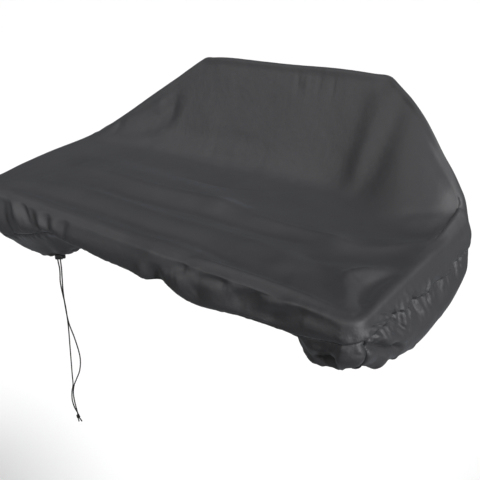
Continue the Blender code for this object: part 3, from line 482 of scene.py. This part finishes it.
# ---- the top, with the raised rest
def level_top(x, y):
    """Height of the sloping top, with the lift along its ends."""
    left, right = table_at(END_LIFT, y)
    left = left * bell(x + HALF_LENGTH, END_LIFT_REACH)
    return TOP_SLOPE * y + left + right * bell(x - HALF_LENGTH, END_LIFT_REACH)


def plain_height(x, y):
    """Height of the top panel without its folds."""
    ridge_y, ridge_z = table_at(RIDGE, x)
    rise = np.maximum(ridge_z - level_top(x, ridge_y), LEAST_RISE)
    foot = table_at(FOOT, x)[0]
    blend = FACE_BLEND * rise
    climb = rise * (y - foot) / (ridge_y - foot)
    return level_top(x, y) + blend * np.logaddexp(0, climb / blend)


# ---- the sides
def side_frame(side, places, draw_in):
    """Centres of the rounding and outward directions of a side at places along it."""
    half_span, facing = SIDES[side][2:]
    outward = np.array([round(cos(facing)), round(sin(facing))], float)
    along = np.abs(outward[::-1])
    half_across = HALF_DEPTH if outward[1] else HALF_LENGTH
    straight = half_span - CORNER_RADIUS
    turn = np.maximum(np.abs(places) - straight, 0.0) / CORNER_RADIUS
    sign = np.sign(places)
    reach = np.minimum(np.abs(places), straight) * (1 + draw_in / straight)
    centre = np.outer(sign * reach, along) + np.outer(half_across - CORNER_RADIUS + draw_in, outward)
    normal = np.outer(sign * turn / sqrt(2), along) + np.outer(np.sqrt(1 - turn * turn / 2), outward)
    return centre, normal


def sections(side, places):
    """The sections' own points as (point, place, (out, z)), from inside the crest to the hem."""
    (radius, bulge, seam_z, seam_out, belly_z, belly_out,
     low_z, low_out, hem_z, hem_out) = table_at(SIDES[side][0], places)
    centre, normal = side_frame(side, places, np.zeros_like(places))
    edge = centre + normal * CORNER_RADIUS
    crest_z = level_top(edge[:, 0], edge[:, 1])
    inset = np.full_like(places, CREST_INSET)
    lift_y = np.zeros_like(places)
    lift_z = np.zeros_like(places)
    if side == "back":
        ridge_y, ridge_z = table_at(RIDGE, places)
        lift_y = ridge_y - HALF_DEPTH
        lift_z = np.maximum(ridge_z - crest_z, 0.0)
        inset *= 1 - SHARP_INSET * np.minimum(lift_z / RIDGE_RISE, 1.0)
    points = []
    for step in START_STEPS:
        spot = centre + normal * (CORNER_RADIUS - inset * step)[:, None]
        points.append((lift_y - inset * step, plain_height(spot[:, 0], spot[:, 1] + lift_y)))
    crest_end = crest_z - CREST_DROP * radius
    near = CREST_NEAR * radius
    points += [
        (lift_y - near, crest_z - near + lift_z),
        (lift_y, crest_end + lift_z),
        (bulge + lift_y / 2, (crest_end + seam_z + lift_z) / 2),
        (seam_out, seam_z),
        (belly_out, belly_z),
        (low_out, low_z),
        (hem_out, hem_z),
    ]
    return np.array([np.stack(point, axis=-1) for point in points])


def pucker(side, places, level):
    """How far the puckers of a side push the cloth out."""
    total = np.zeros_like(places)
    for place, half_width, out, lean, own_level, reach in SIDES[side][1]:
        down = level - own_level
        fade = max(0.0, 1 - (down / reach) ** 2) ** 2
        total += out * fade * bell(places - place - lean * down, half_width)
    return total


def side_points(side, places, levels):
    """Points of a side as (level, place, xyz)."""
    places = np.atleast_1d(np.array(places, float))
    points = sections(side, places)
    knots = distances(points)[:, :, None]
    slopes = row_slopes(knots, points)
    found = []
    for level in levels:
        first = min(int(level), len(points) - 3) + 1
        span = knots[first + 1] - knots[first]
        spot = cubic(points[first], points[first + 1], slopes[first] * span,
                     slopes[first + 1] * span, level - first + 1)
        out = spot[:, 0] + pucker(side, places, level)
        draw_in = np.minimum(out + CORNER_RADIUS - TIGHT_RADIUS, 0.0)
        centre, normal = side_frame(side, places, draw_in)
        plan = centre + normal * (CORNER_RADIUS + out - draw_in)[:, None]
        found.append(np.c_[plan, spot[:, 1]])
    return np.array(found)


def station_points(stations, levels):
    """Points of a row of stations (side, place) as (level, station, xyz)."""
    points = np.zeros((len(levels), len(stations), 3))
    for side in SIDES:
        chosen = [k for k, station in enumerate(stations) if station[0] == side]
        if chosen:
            points[:, chosen] = side_points(side, [stations[k][1] for k in chosen], levels)
    return points


def ring_levels(table):
    levels = [table[0][0]]
    for start, end, steps in table:
        levels += [start + (end - start) * (k + 1) / steps for k in range(steps)]
    return levels


# ---- creases and gathers
def side_route(side, route):
    """A crease's points on a side, on the smooth line through its places and levels."""
    fine = curve_points([(place, level, 0.0) for place, level in route], CREASE_POINTS * len(route))
    return np.array([side_points(side, [place], [level])[0, 0] for place, level in fine[:, :2]])


def crease_lines():
    """Every crease as (points, half width, height), its points on the plain surface."""
    lines = []
    for side, rows in (("right", RIGHT_CREASES), ("front", FRONT_CREASES)):
        for half_width, height, *route in rows:
            pairs = zip(route[::2], route[1::2])
            points = side_route(side, [(place / 1000, level) for place, level in pairs])
            lines.append((points, half_width / 1000, height / 1000))
    for half_width, height, *route in TOP_CREASES:
        flat = [(x / 1000, y / 1000, 0.0) for x, y in zip(route[::2], route[1::2])]
        points = curve_points(flat, CREASE_POINTS * len(flat))
        points[:, 2] = plain_height(points[:, 0], points[:, 1])
        lines.append((points, half_width / 1000, height / 1000))
    random = np.random.default_rng(GATHER_SEED)
    for side, lengths, level, above, below in GATHERS:
        place, end, spacing, height = metres(lengths)[0]
        while place < end:
            strength = random.uniform(*GATHER_STRENGTH)
            lean = random.uniform(*GATHER_LEAN)
            up = above * random.uniform(*GATHER_REACH)
            down = below * random.uniform(*GATHER_REACH)
            route = ((place - lean, level - up), (place, level), (place + lean, level + down))
            route = route if below else route[:2]
            width = GATHER_HALF_WIDTH * random.uniform(*GATHER_WIDTH)
            lines.append((side_route(side, route), width, height * strength))
            place += spacing * random.uniform(*GATHER_STRIDE)
            height = -height
    return lines


def crease_height(points, lines):
    """Sum of the creases at points.  A crease fades towards its two ends."""
    total = np.zeros(len(points))
    for line, half_width, height in lines:
        reach = CREASE_REACH * half_width
        low, high = line.min(axis=0) - reach, line.max(axis=0) + reach
        near = np.nonzero(((points > low) & (points < high)).all(axis=1))[0]
        if not len(near):
            continue
        best = np.full(len(near), np.inf)
        share = np.zeros(len(near))
        for k in range(len(line) - 1):
            away, part = segment_distance(points[near], line[k], line[k + 1])
            closer = away < best
            best = np.where(closer, away, best)
            share = np.where(closer, (k + part) / (len(line) - 1), share)
        gain = CREASE_GAIN * np.minimum(share, 1 - share) + CREASE_END_SHARE
        total[near] += height * np.minimum(1.0, gain) * bell(best, half_width)
    return total


def fold_height(points):
    """Sum of the solids' soft ridges and troughs of the top, seen from above."""
    total = np.zeros(len(points))
    for x0, y0, x1, y1, half_width, height in TOP_FOLDS:
        away, _ = segment_distance(points[:, :2], np.array([x0, y0]), np.array([x1, y1]))
        total += height * bell(away, half_width)
    return total


def unevenness(points):
    """Slow and fine waves of the cloth."""
    slow = [noise.noise(Vector(p) / WAVE_LENGTH) for p in points]
    fine = [noise.noise(Vector(p) / FINE_WAVE_LENGTH) for p in points]
    return WAVE_HEIGHT * np.array(slow) + FINE_WAVE_HEIGHT * np.array(fine)


# ---- scene helpers
def grid_faces(number):
    """Quads between the rows and the columns of an array of point numbers."""
    corners = number[:-1, :-1], number[1:, :-1], number[1:, 1:], number[:-1, 1:]
    return np.stack(corners, axis=-1).reshape(-1, 4).tolist()


def new_mesh_object(name, points, faces, material):
    mesh = bpy.data.meshes.new(name)
    mesh.from_pydata([tuple(p) for p in points], [], faces)
    mesh.shade_smooth()
    mesh.materials.append(material)
    piece = bpy.data.objects.new(name, mesh)
    bpy.context.scene.collection.objects.link(piece)
    return piece


def normals_of(piece):
    normals = np.empty(3 * len(piece.data.vertices))
    piece.data.vertex_normals.foreach_get("vector", normals)
    return normals.reshape(-1, 3)


def add_cloth_uv(piece, uv):
    """A UV map in metres of cloth."""
    layer = piece.data.uv_layers.new(name="Cloth")
    corners = np.empty(len(piece.data.loops), int)
    piece.data.loops.foreach_get("vertex_index", corners)
    layer.data.foreach_set("uv", uv[corners].ravel())


def wear(piece, slot_name, *nodes):
    """A piece rides on the only body and stands for CAD nodes, which it hides.  The slot name is not
    used.
    """
    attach(piece, "root")
    if nodes:
        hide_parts(*nodes)


# ---- the cloth pieces
def dress(piece, points, lines, distance, extra, uv, crinkle_distance):
    """Shape a cloth piece into its sheet, from its points' distance to the seam and extra height.

    It also gets its UV map, its crinkles (from the distance to any seam) and its thickness.
    """
    height = SHEET_OUT + unevenness(points) - SEAM_TUCK * bell(distance, SEAM_TUCK_WIDTH) + extra
    held = SEAM_HOLD * bell(distance, SEAM_HOLD_WIDTH)
    height += crease_height(points, lines) * (1 - held)
    final = points + normals_of(piece) * height[:, None]
    piece.data.vertices.foreach_set("co", final.ravel())
    piece.data.update()
    add_cloth_uv(piece, uv)
    attribute = piece.data.attributes.new("crinkle", "FLOAT", "POINT")
    attribute.data.foreach_set("value", np.exp(-crinkle_distance / CRINKLE_REACH))
    solidify = piece.modifiers.new("Cloth thickness", "SOLIDIFY")
    solidify.thickness = SHEET_THICKNESS
    solidify.offset = 1.0
    return final


def places_between(start, end, step):
    count = max(2, round(abs(end - start) / step))
    return list(np.linspace(start, end, count + 1))


def with_corners(half_span, straight):
    """Places along a side: those of its straight part, and those round its two corners."""
    corner = np.linspace(half_span - CORNER_RADIUS, half_span, CORNER_STEPS + 1)[1:]
    return np.r_[-corner[::-1], straight, corner]


def fill_panel(plan):
    """The inside of the top panel's plan (column, row, xy), blended from its four rim lines."""
    front, back, left, right = plan[:, 0], plan[:, -1], plan[0], plan[-1]
    u = np.linspace(0, 1, len(front))[:, None, None]
    v = ((left[:, 1] - left[0, 1]) / (left[-1, 1] - left[0, 1]))[None, :, None]
    across = (1 - u) * left[None] + u * right[None]
    along = (1 - v) * front[:, None] + v * back[:, None]
    corners = ((1 - u) * (1 - v) * front[0] + u * (1 - v) * front[-1]
               + (1 - u) * v * back[0] + u * v * back[-1])
    return across + along - corners


def build_top_panel(material, lines):
    end_x, end_y = HALF_LENGTH - CORNER_RADIUS, HALF_DEPTH - CORNER_RADIUS
    dense = places_between(-end_y, PANEL_RIGHT_DENSE, PANEL_ROW)
    wide = places_between(PANEL_RIGHT_DENSE, end_y, PANEL_WIDE_ROW)
    xs = with_corners(HALF_LENGTH, np.linspace(-end_x, end_x, PANEL_COLUMNS + 1))
    ys = with_corners(HALF_DEPTH, dense + wide[1:])
    columns, rows = len(xs), len(ys)
    levels = ring_levels(PANEL_RINGS)
    stations = ([("front", x) for x in xs] + [("right", y) for y in ys[1:]]
                + [("back", x) for x in xs[-2::-1]] + [("left", y) for y in ys[-2:0:-1]])
    rings = station_points(stations, levels)
    number = np.arange(columns * rows).reshape(columns, rows)
    loop = np.r_[number[:, 0], number[-1, 1:], number[-2::-1, -1], number[0, -2:0:-1]]
    plan = np.zeros((columns * rows, 2))
    plan[loop] = rings[0, :, :2]
    plan = fill_panel(plan.reshape(columns, rows, 2)).reshape(-1, 2)
    heights = plain_height(plan[:, 0], plan[:, 1])
    points = np.vstack([np.c_[plan, heights], rings[1:].reshape(-1, 3)])
    points[loop] = rings[0]
    below = np.arange(columns * rows, len(points)).reshape(-1, len(loop))
    ring_numbers = np.vstack([loop, below])
    faces = grid_faces(number) + grid_faces(np.c_[ring_numbers, ring_numbers[:, :1]])
    piece = new_mesh_object("cover_top_panel", points, faces, material)

    seam_distance = np.full(len(points), 1.0)
    seam_distance[ring_numbers] = distances(rings[::-1])[::-1]
    share = np.ones(len(points))
    share[ring_numbers] = np.maximum(0.0, 1 - np.array(levels) / FOLDS_END)[:, None]
    uv = np.zeros((len(points), 2))
    uv[number] = np.stack([points[number, 0], ys[0] + distances(points[number.T]).T], axis=-1)
    facing = np.array([SIDES[side][3] for side, _ in stations])
    outward = np.round(np.c_[np.cos(facing), np.sin(facing)])
    uv[ring_numbers] = uv[loop] + distances(rings)[:, :, None] * outward
    folds = fold_height(points) * share
    dress(piece, points, lines, seam_distance, folds, uv, seam_distance)
    wear(piece, "cover_cloth", "top_panel")
    return piece


def skirt_stations(side):
    """Stations of a skirt piece, in the order that turns its faces outwards."""
    seam_place = HALF_DEPTH - CORNER_RADIUS / 2
    if side in ("right", "left"):
        end = seam_place - SKIRT_GAP / 2
        stations = [(side, place) for place in places_between(-end, end, SKIRT_STEP)]
        return stations if side == "right" else stations[::-1]
    corner = np.linspace(seam_place + SKIRT_GAP / 2, HALF_DEPTH, CORNER_STEPS // 2 + 1)[:-1]
    sign = -1 if side == "front" else 1
    straight = HALF_LENGTH - CORNER_RADIUS
    xs = with_corners(HALF_LENGTH, places_between(-straight, straight, SKIRT_STEP))
    stations = ([("left", sign * y) for y in corner] + [(side, x) for x in xs]
                + [("right", sign * y) for y in corner[::-1]])
    return stations if side == "front" else stations[::-1]


def build_skirt(side, material, thread, lines):
    stations = skirt_stations(side)
    levels = ring_levels(SKIRT_RINGS)
    rings = station_points(stations, levels)
    count = len(stations)
    points = rings.reshape(-1, 3)
    faces = grid_faces(np.arange(len(points)).reshape(-1, count))
    piece = new_mesh_object("cover_skirt_" + side, points, faces, material)

    down = distances(rings)
    across = distances(rings.transpose(1, 0, 2)).T
    to_corner = np.minimum(across, across[:, -1:] - across)
    channel = (np.array(levels) - HEM_CHANNEL_LEVEL) / HEM_CHANNEL_REACH
    channel = HEM_CHANNEL_HEIGHT * np.maximum(0.0, 1 - channel ** 2)[:, None]
    extra = channel - SEAM_TUCK * bell(to_corner, SEAM_TUCK_WIDTH)
    uv = np.stack([np.broadcast_to(across[0], down.shape), down], -1).reshape(-1, 2)
    to_seam = np.minimum(down, down[-1:] - down).ravel()
    final = dress(piece, points, lines, down.ravel(), extra.ravel(), uv, to_seam)
    wear(piece, "skirt_cloth", "skirt_" + side)

    normals = normals_of(piece).reshape(rings.shape)
    final = final.reshape(rings.shape)
    row = int(np.argmin(np.abs(np.array(levels) - HEM_STITCH_LEVEL)))
    stitches = [build_stitches("hem_stitches_" + side, final[row, 2:-2], normals[row, 2:-2], thread)]
    if side in ("right", "left"):
        for end, column in (("front", 1), ("back", -2)):
            name = "corner_stitches_" + side + "_" + end
            stitches.append(build_stitches(name, final[2:, column], normals[2:, column], thread))
    for stitch_row in stitches:
        wear(stitch_row, "skirt_cloth")
    return piece, stitches


# ---- stitches and cords
def tube_faces(base, rings, sides, closed=False):
    """Faces of a tube whose rings of points start at base, with its ends unless it is closed."""
    number = base + np.arange(rings * sides).reshape(rings, sides)
    wrapped = np.c_[number, number[:, :1]]
    if closed:
        return grid_faces(np.r_[wrapped, wrapped[:1]].T)
    return grid_faces(wrapped.T) + [number[0, ::-1].tolist(), number[-1].tolist()]


def ring_points(centre, across, up, radii):
    """Points of a tube's ring, one for each radius."""
    angles = 2 * pi * np.arange(len(radii)) / len(radii)
    turn = np.outer(np.cos(angles), across) + np.outer(np.sin(angles), up)
    return list(centre + turn * radii[:, None])


def row_at(length, lengths, rows):
    """The row of an array at a length along it, between the lengths of its own rows."""
    return np.array([np.interp(length, lengths, column) for column in rows.T])


def build_stitches(name, path, normals, material):
    """A row of short threads that lie on the cloth along a path."""
    lengths = distances(path)
    pitch = STITCH_LENGTH + STITCH_SPACE
    points, faces = [], []
    for k in range(int(lengths[-1] / pitch)):
        middle = k * pitch + STITCH_LENGTH / 2
        centre = row_at(middle, lengths, path)
        along = centre - row_at(k * pitch, lengths, path)
        along /= norm(along)
        up = row_at(middle, lengths, normals)
        up -= along * (up @ along)
        up /= norm(up)
        across = np.cross(up, along)
        faces += tube_faces(len(points), len(STITCH_PROFILE), STITCH_SIDES)
        for share, width in STITCH_PROFILE:
            lift = SHEET_THICKNESS + STITCH_RADIUS * (width - STITCH_SUNK)
            spot = centre + along * share * STITCH_LENGTH / 2 + up * lift
            points += ring_points(spot, across, up, np.full(STITCH_SIDES, STITCH_RADIUS * width))
    return new_mesh_object(name, points, faces, material)


def build_braid(name, route, material, closed=False):
    """A braided round cord along a route, as a mesh tube, with the points that it follows."""
    path = np.array(route, float)
    if not closed:
        path = curve_points(path, int(distances(path)[-1] / BRAID_STEP) + 1)
    ahead = np.roll(path, -1, axis=0) - np.roll(path, 1, axis=0)
    if not closed:
        ahead[0], ahead[-1] = path[1] - path[0], path[-1] - path[-2]
    ahead /= norm(ahead, axis=1)[:, None]
    side = np.cross(ahead[0], BRAID_START)
    angles = 2 * pi * np.arange(BRAID_SIDES) / BRAID_SIDES
    strands = BRAID_STRANDS * angles / 2
    points, uv = [], []
    for centre, forward, length in zip(path, ahead, distances(path)):
        side = side - forward * (side @ forward)
        side /= norm(side)
        twist = length / BRAID_PITCH * 2 * pi
        bulges = np.maximum(np.sin(strands + twist), np.sin(strands - twist))
        radii = CORD_RADIUS * (1 - BRAID_DEPTH + BRAID_DEPTH * bulges)
        points += ring_points(centre, side, np.cross(forward, side), radii)
        uv += [(length, angle) for angle in angles]
    piece = new_mesh_object(name, points, tube_faces(0, len(path), BRAID_SIDES, closed), material)
    add_cloth_uv(piece, np.array(uv))
    return piece, path


def build_knot(material):
    """An overhand knot of the two strands, with their two short ends."""
    t = 2 * pi * np.arange(KNOT_POINTS) / KNOT_POINTS
    x = KNOT_LOOP * (np.sin(t) + 2 * np.sin(2 * t))
    y = KNOT_LOOP * (np.cos(t) - 2 * np.cos(2 * t))
    path = np.array(KNOT_CENTRE) + np.c_[x, y, KNOT_HEIGHT * np.sin(3 * t)]
    pieces = [build_braid("cord_knot_wraps", path, material, closed=True)[0]]
    for number, (start, end) in enumerate(CORD_ENDS):
        bow = Vector((END_BOW, 0, 0)) * (-1) ** number
        middle = (Vector(start) + Vector(end)) / 2 + bow
        stub, _ = build_braid("cord_end_" + str(number), (start, tuple(middle), end), material)
        pieces.append(stub)
    return pieces


def mouth_place(side):
    """Where the middle of a strand's mouth lies, -1 for the left strand and 1 for the right."""
    away = side * MOUTH_SPACING / 2 - BUTTON_OUT / 2 + MOUTH_SHIFT
    direction = Vector((cos(LOCK_TURN), sin(LOCK_TURN), 0.0))
    return LOCK_CENTRE + direction * away + Vector((0, 0, -LOCK_RADIUS))


def build_strand(name, side, route, material):
    start = mouth_place(side) + Vector((0, 0, MOUTH_DEPTH - TOUCH))
    below = mouth_place(side) - Vector((0, 0, STRAIGHT_RUN))
    return build_braid(name, (tuple(start), tuple(below), *route), material)


def declare_strand(path):
    float(distances(path)[-1])


# ---- materials
class Nodes:
    """Short names for adding and joining the nodes of one material or world."""

    def __init__(self, owner, shader="Principled BSDF"):
        owner.use_nodes = True
        self.owner = owner
        self.tree = owner.node_tree
        self.shader = self.tree.nodes[shader]

    def add(self, kind, inputs=(), **settings):
        node = self.tree.nodes.new(kind)
        for key, value in settings.items():
            setattr(node, key, value)
        return self.feed(node, inputs)

    def feed(self, node, inputs):
        """Join sockets to a node's inputs, or set values on them."""
        for key, value in dict(inputs).items():
            if isinstance(value, bpy.types.NodeSocket):
                self.tree.links.new(value, node.inputs[key])
            else:
                node.inputs[key].default_value = value
        return node

    def finish(self, inputs):
        """Feed the shader, and give back the material or world."""
        self.feed(self.shader, inputs)
        return self.owner

    def math(self, operation, *values):
        return self.add("ShaderNodeMath", enumerate(values), operation=operation).outputs[0]

    def times(self, a, b, *more):
        """The product of a and b, with one more value added to it where it is given."""
        return self.math("MULTIPLY_ADD" if more else "MULTIPLY", a, b, *more)

    def place(self, output="Object"):
        return self.add("ShaderNodeTexCoord").outputs[output]

    def noise(self, scale, detail, vector, roughness=0.55):
        inputs = {"Scale": scale, "Detail": detail, "Roughness": roughness, "Vector": vector}
        return self.add("ShaderNodeTexNoise", inputs).outputs["Fac"]

    def spread(self, value, low, high, start, end):
        """A value mapped from start...end to low...high."""
        inputs = {"Value": value, "From Min": start, "From Max": end, "To Min": low, "To Max": high}
        return self.add("ShaderNodeMapRange", inputs).outputs[0]

    def blend(self, share, a, b):
        """A colour between a and b."""
        return self.add("ShaderNodeMix", {0: share, 6: a, 7: b}, data_type="RGBA").outputs[2]

    def bump(self, height, strength, distance, inputs=()):
        inputs = {"Height": height, "Strength": strength, "Distance": distance, **dict(inputs)}
        return self.add("ShaderNodeBump", inputs).outputs[0]


def woven_cloth(name, dark, light, roughness):
    """Plain-woven synthetic cloth: crossing threads with painted shade in the gaps between them,
    slub, crinkles near the seams, faint dust.
    """
    m = Nodes(bpy.data.materials.new(name))
    uv = m.add("ShaderNodeUVMap", uv_map="Cloth").outputs[0]
    split = m.add("ShaderNodeSeparateXYZ", {"Vector": uv})
    turns = [m.times(split.outputs[a], pi / THREAD_PITCH) for a in (0, 1)]
    ribs = [m.math("ABSOLUTE", m.math("SINE", turn)) for turn in turns]
    cells = m.add("ShaderNodeTexChecker", {"Vector": uv, "Scale": 1 / THREAD_PITCH})
    over = cells.outputs["Fac"]
    # Painted shade: each thread's colour darkens towards its edges, so the gaps between threads are
    # painted darker.
    warp = m.times(ribs[0], m.times(ribs[1], 0.45, 0.55))
    weft = m.times(ribs[1], m.times(ribs[0], 0.45, 0.55))
    under = m.math("SUBTRACT", 1.0, over)
    weave_and_gap_shade = m.math("ADD", m.times(warp, over), m.times(weft, under))

    stretch = m.add("ShaderNodeMapping", {"Vector": uv, "Scale": (1.0, 0.12, 1.0)})
    slub = m.noise(900.0, 2.0, stretch.outputs[0])
    place = m.place()
    cloud = m.noise(9.0, 4.0, place)
    dust = m.noise(160.0, 5.0, place, 0.7)
    crinkle_share = m.add("ShaderNodeAttribute", attribute_name="crinkle").outputs["Fac"]
    crinkle = m.noise(75.0, 3.0, place, 0.6)
    handled = m.noise(26.0, 3.0, place, 0.5)

    # The colour: a random tone, slub, and the weave's painted shade in the gaps between threads.
    tone_and_gap_shade = m.times(cloud, 0.45, m.times(weave_and_gap_shade, 0.35))
    tone_and_gap_shade = m.times(slub, 0.20, tone_and_gap_shade)
    specks = m.spread(dust, 0.0, 0.30, 0.66, 0.80)
    gloss = m.math("ADD", m.times(cloud, 0.10), m.times(weave_and_gap_shade, -0.10))
    fine = m.bump(m.times(slub, 0.3, weave_and_gap_shade), 0.75, THREAD_DEPTH)
    waves = m.times(crinkle, m.times(crinkle_share, 0.9, 0.16))
    coarse = m.bump(waves, 0.55, CRINKLE_DEPTH, {"Normal": fine})
    return m.finish({
        "Base Color": m.blend(specks, m.blend(tone_and_gap_shade, dark, light), DUST),
        "Roughness": m.math("ADD", gloss, roughness),
        "Normal": m.bump(handled, 0.25, CRINKLE_DEPTH, {"Normal": coarse}),
        "Sheen Weight": 0.10,
        "Sheen Roughness": 0.42,
        "Sheen Tint": SHEEN_TINT,
        "Specular IOR Level": 0.50,
    })


def braided_yarn(name, dark, light, roughness):
    """Braided cord or twisted thread: slanting strands with a fibre grain, and painted shade in the
    grooves between the strands.
    """
    m = Nodes(bpy.data.materials.new(name))
    uv = m.add("ShaderNodeUVMap", uv_map="Cloth").outputs[0]
    split = m.add("ShaderNodeSeparateXYZ", {"Vector": uv})
    along = m.times(split.outputs[0], 2 * pi / BRAID_PITCH)
    around = m.times(split.outputs[1], BRAID_STRANDS / 2)
    slants = [m.math("SINE", m.math(turn, around, along)) for turn in ("ADD", "SUBTRACT")]
    strands = m.math("MAXIMUM", *slants)
    grain = m.noise(2600.0, 3.0, m.place())
    # Painted shade: the colour darkens in the grooves between the strands.
    tone_and_gap_shade = m.times(m.spread(strands, 0.0, 1.0, -1.0, 1.0), 0.7, m.times(grain, 0.3))
    return m.finish({
        "Base Color": m.blend(tone_and_gap_shade, dark, light),
        "Roughness": m.times(grain, 0.2, roughness),
        "Normal": m.bump(m.times(grain, 0.25, strands), 0.6, 0.0003),
        "Sheen Weight": 0.06,
        "Sheen Roughness": 0.5,
        "Specular IOR Level": 0.25,
    })


def moulded_plastic(name, dark, light, roughness):
    """Black moulded plastic: a fine spark-eroded grain, and edges worn a little smoother."""
    m = Nodes(bpy.data.materials.new(name))
    place = m.place()
    grain = m.noise(3200.0, 2.0, place)
    cloud = m.noise(180.0, 3.0, place)
    edges = m.add("ShaderNodeNewGeometry").outputs["Pointiness"]
    worn = m.spread(edges, 0.0, 1.0, 0.50, 0.58)
    rough = m.times(grain, 0.12, roughness)
    return m.finish({
        "Base Color": m.blend(m.times(worn, 0.6, cloud), dark, light),
        "Roughness": m.times(worn, -0.08, rough),
        "Normal": m.bump(grain, 0.25, 0.0002),
        "Specular IOR Level": 0.5,
    })


def painted_floor(name, dark, light, roughness):
    m = Nodes(bpy.data.materials.new(name))
    cloud = m.noise(0.8, 2.0, m.place())
    return m.finish({"Base Color": m.blend(cloud, dark, light), "Roughness": roughness})


# ---- camera, floor and lights
def place_camera():
    camera = bpy.data.objects.new("camera", bpy.data.cameras.new("camera"))
    bpy.context.scene.collection.objects.link(camera)
    forward, right = Vector(CAMERA_FORWARD), Vector(CAMERA_RIGHT)
    turn = Matrix((right, right.cross(forward), -forward)).transposed()
    camera.matrix_world = Matrix.Translation(CAMERA_PLACE) @ turn.to_4x4()
    camera.data.lens = CAMERA_LENS
    camera.data.sensor_width = 36.0
    camera.data.clip_start = 0.01
    bpy.context.scene.camera = camera


def place_sun(name, azimuth, elevation, strength, spread, colour):
    """A soft distant light from an azimuth (0 from the front, 90 from the right) and elevation."""
    light = bpy.data.lights.new(name, "SUN")
    light.energy = strength
    light.angle = radians(spread)
    light.color = colour
    lamp = bpy.data.objects.new(name, light)
    bpy.context.scene.collection.objects.link(lamp)
    a, e = radians(azimuth), radians(elevation)
    source = Vector((sin(a) * cos(e), -cos(a) * cos(e), sin(e)))
    lamp.rotation_euler = source.to_track_quat("Z", "Y").to_euler()


def build_stage():
    half = FLOOR_SIZE / 2
    corners = ((-half, -half, 0), (half, -half, 0), (half, half, 0), (-half, half, 0))
    paint = painted_floor("studio_floor", *FLOOR_PAINT)
    floor = new_mesh_object("floor", corners, [(0, 1, 2, 3)], paint)
    floor.location.z = FLOOR_HEIGHT
    floor.visible_diffuse = False
    floor.visible_glossy = False
    sky = Nodes(bpy.data.worlds.new("studio"), "Background")
    height = sky.add("ShaderNodeSeparateXYZ", {0: sky.place("Generated")}).outputs[2]
    bpy.context.scene.world = sky.finish({
        "Color": (*WHITE, 1.0),
        "Strength": sky.spread(height, *WORLD_FADE),
    })
    for sun in SUNS:
        place_sun(*sun)


def build():
    bpy.context.scene.view_settings.view_transform = "Standard"
    place_camera()
    cloth = woven_cloth("cover_cloth_woven", *COVER_CLOTH)
    skirt_cloth = woven_cloth("skirt_cloth_woven", *SKIRT_CLOTH)
    yarn = braided_yarn("braided_yarn", *CORD_YARN)
    thread = braided_yarn("sewing_thread", *SEWING_THREAD)
    plastic = moulded_plastic("moulded_plastic", *LOCK_PLASTIC)

    left, left_path = build_strand("braid_left", -1, LEFT_STRAND, yarn)
    right, right_path = build_strand("braid_right", 1, RIGHT_STRAND, yarn)
    corner, _ = build_braid("braid_corner", CORNER_CORD, yarn)
    knot = build_knot(yarn)
    wear(left, "cord_yarn", "cord_strand_left")
    wear(right, "cord_yarn", "cord_strand_right")
    wear(corner, "cord_yarn", "corner_cord")
    for piece in knot:
        wear(piece, "cord_yarn", "cord_knot")
    declare_strand(left_path)
    declare_strand(right_path)

    lines = crease_lines()
    build_top_panel(cloth, lines)
    for side in SIDES:
        skirt, stitches = build_skirt(side, skirt_cloth, thread, lines)
    for name in ("cord_lock", "cord_lock_button"):
        for slot in bpy.data.objects[name].material_slots:
            slot.material = plastic
    build_stage()


build()
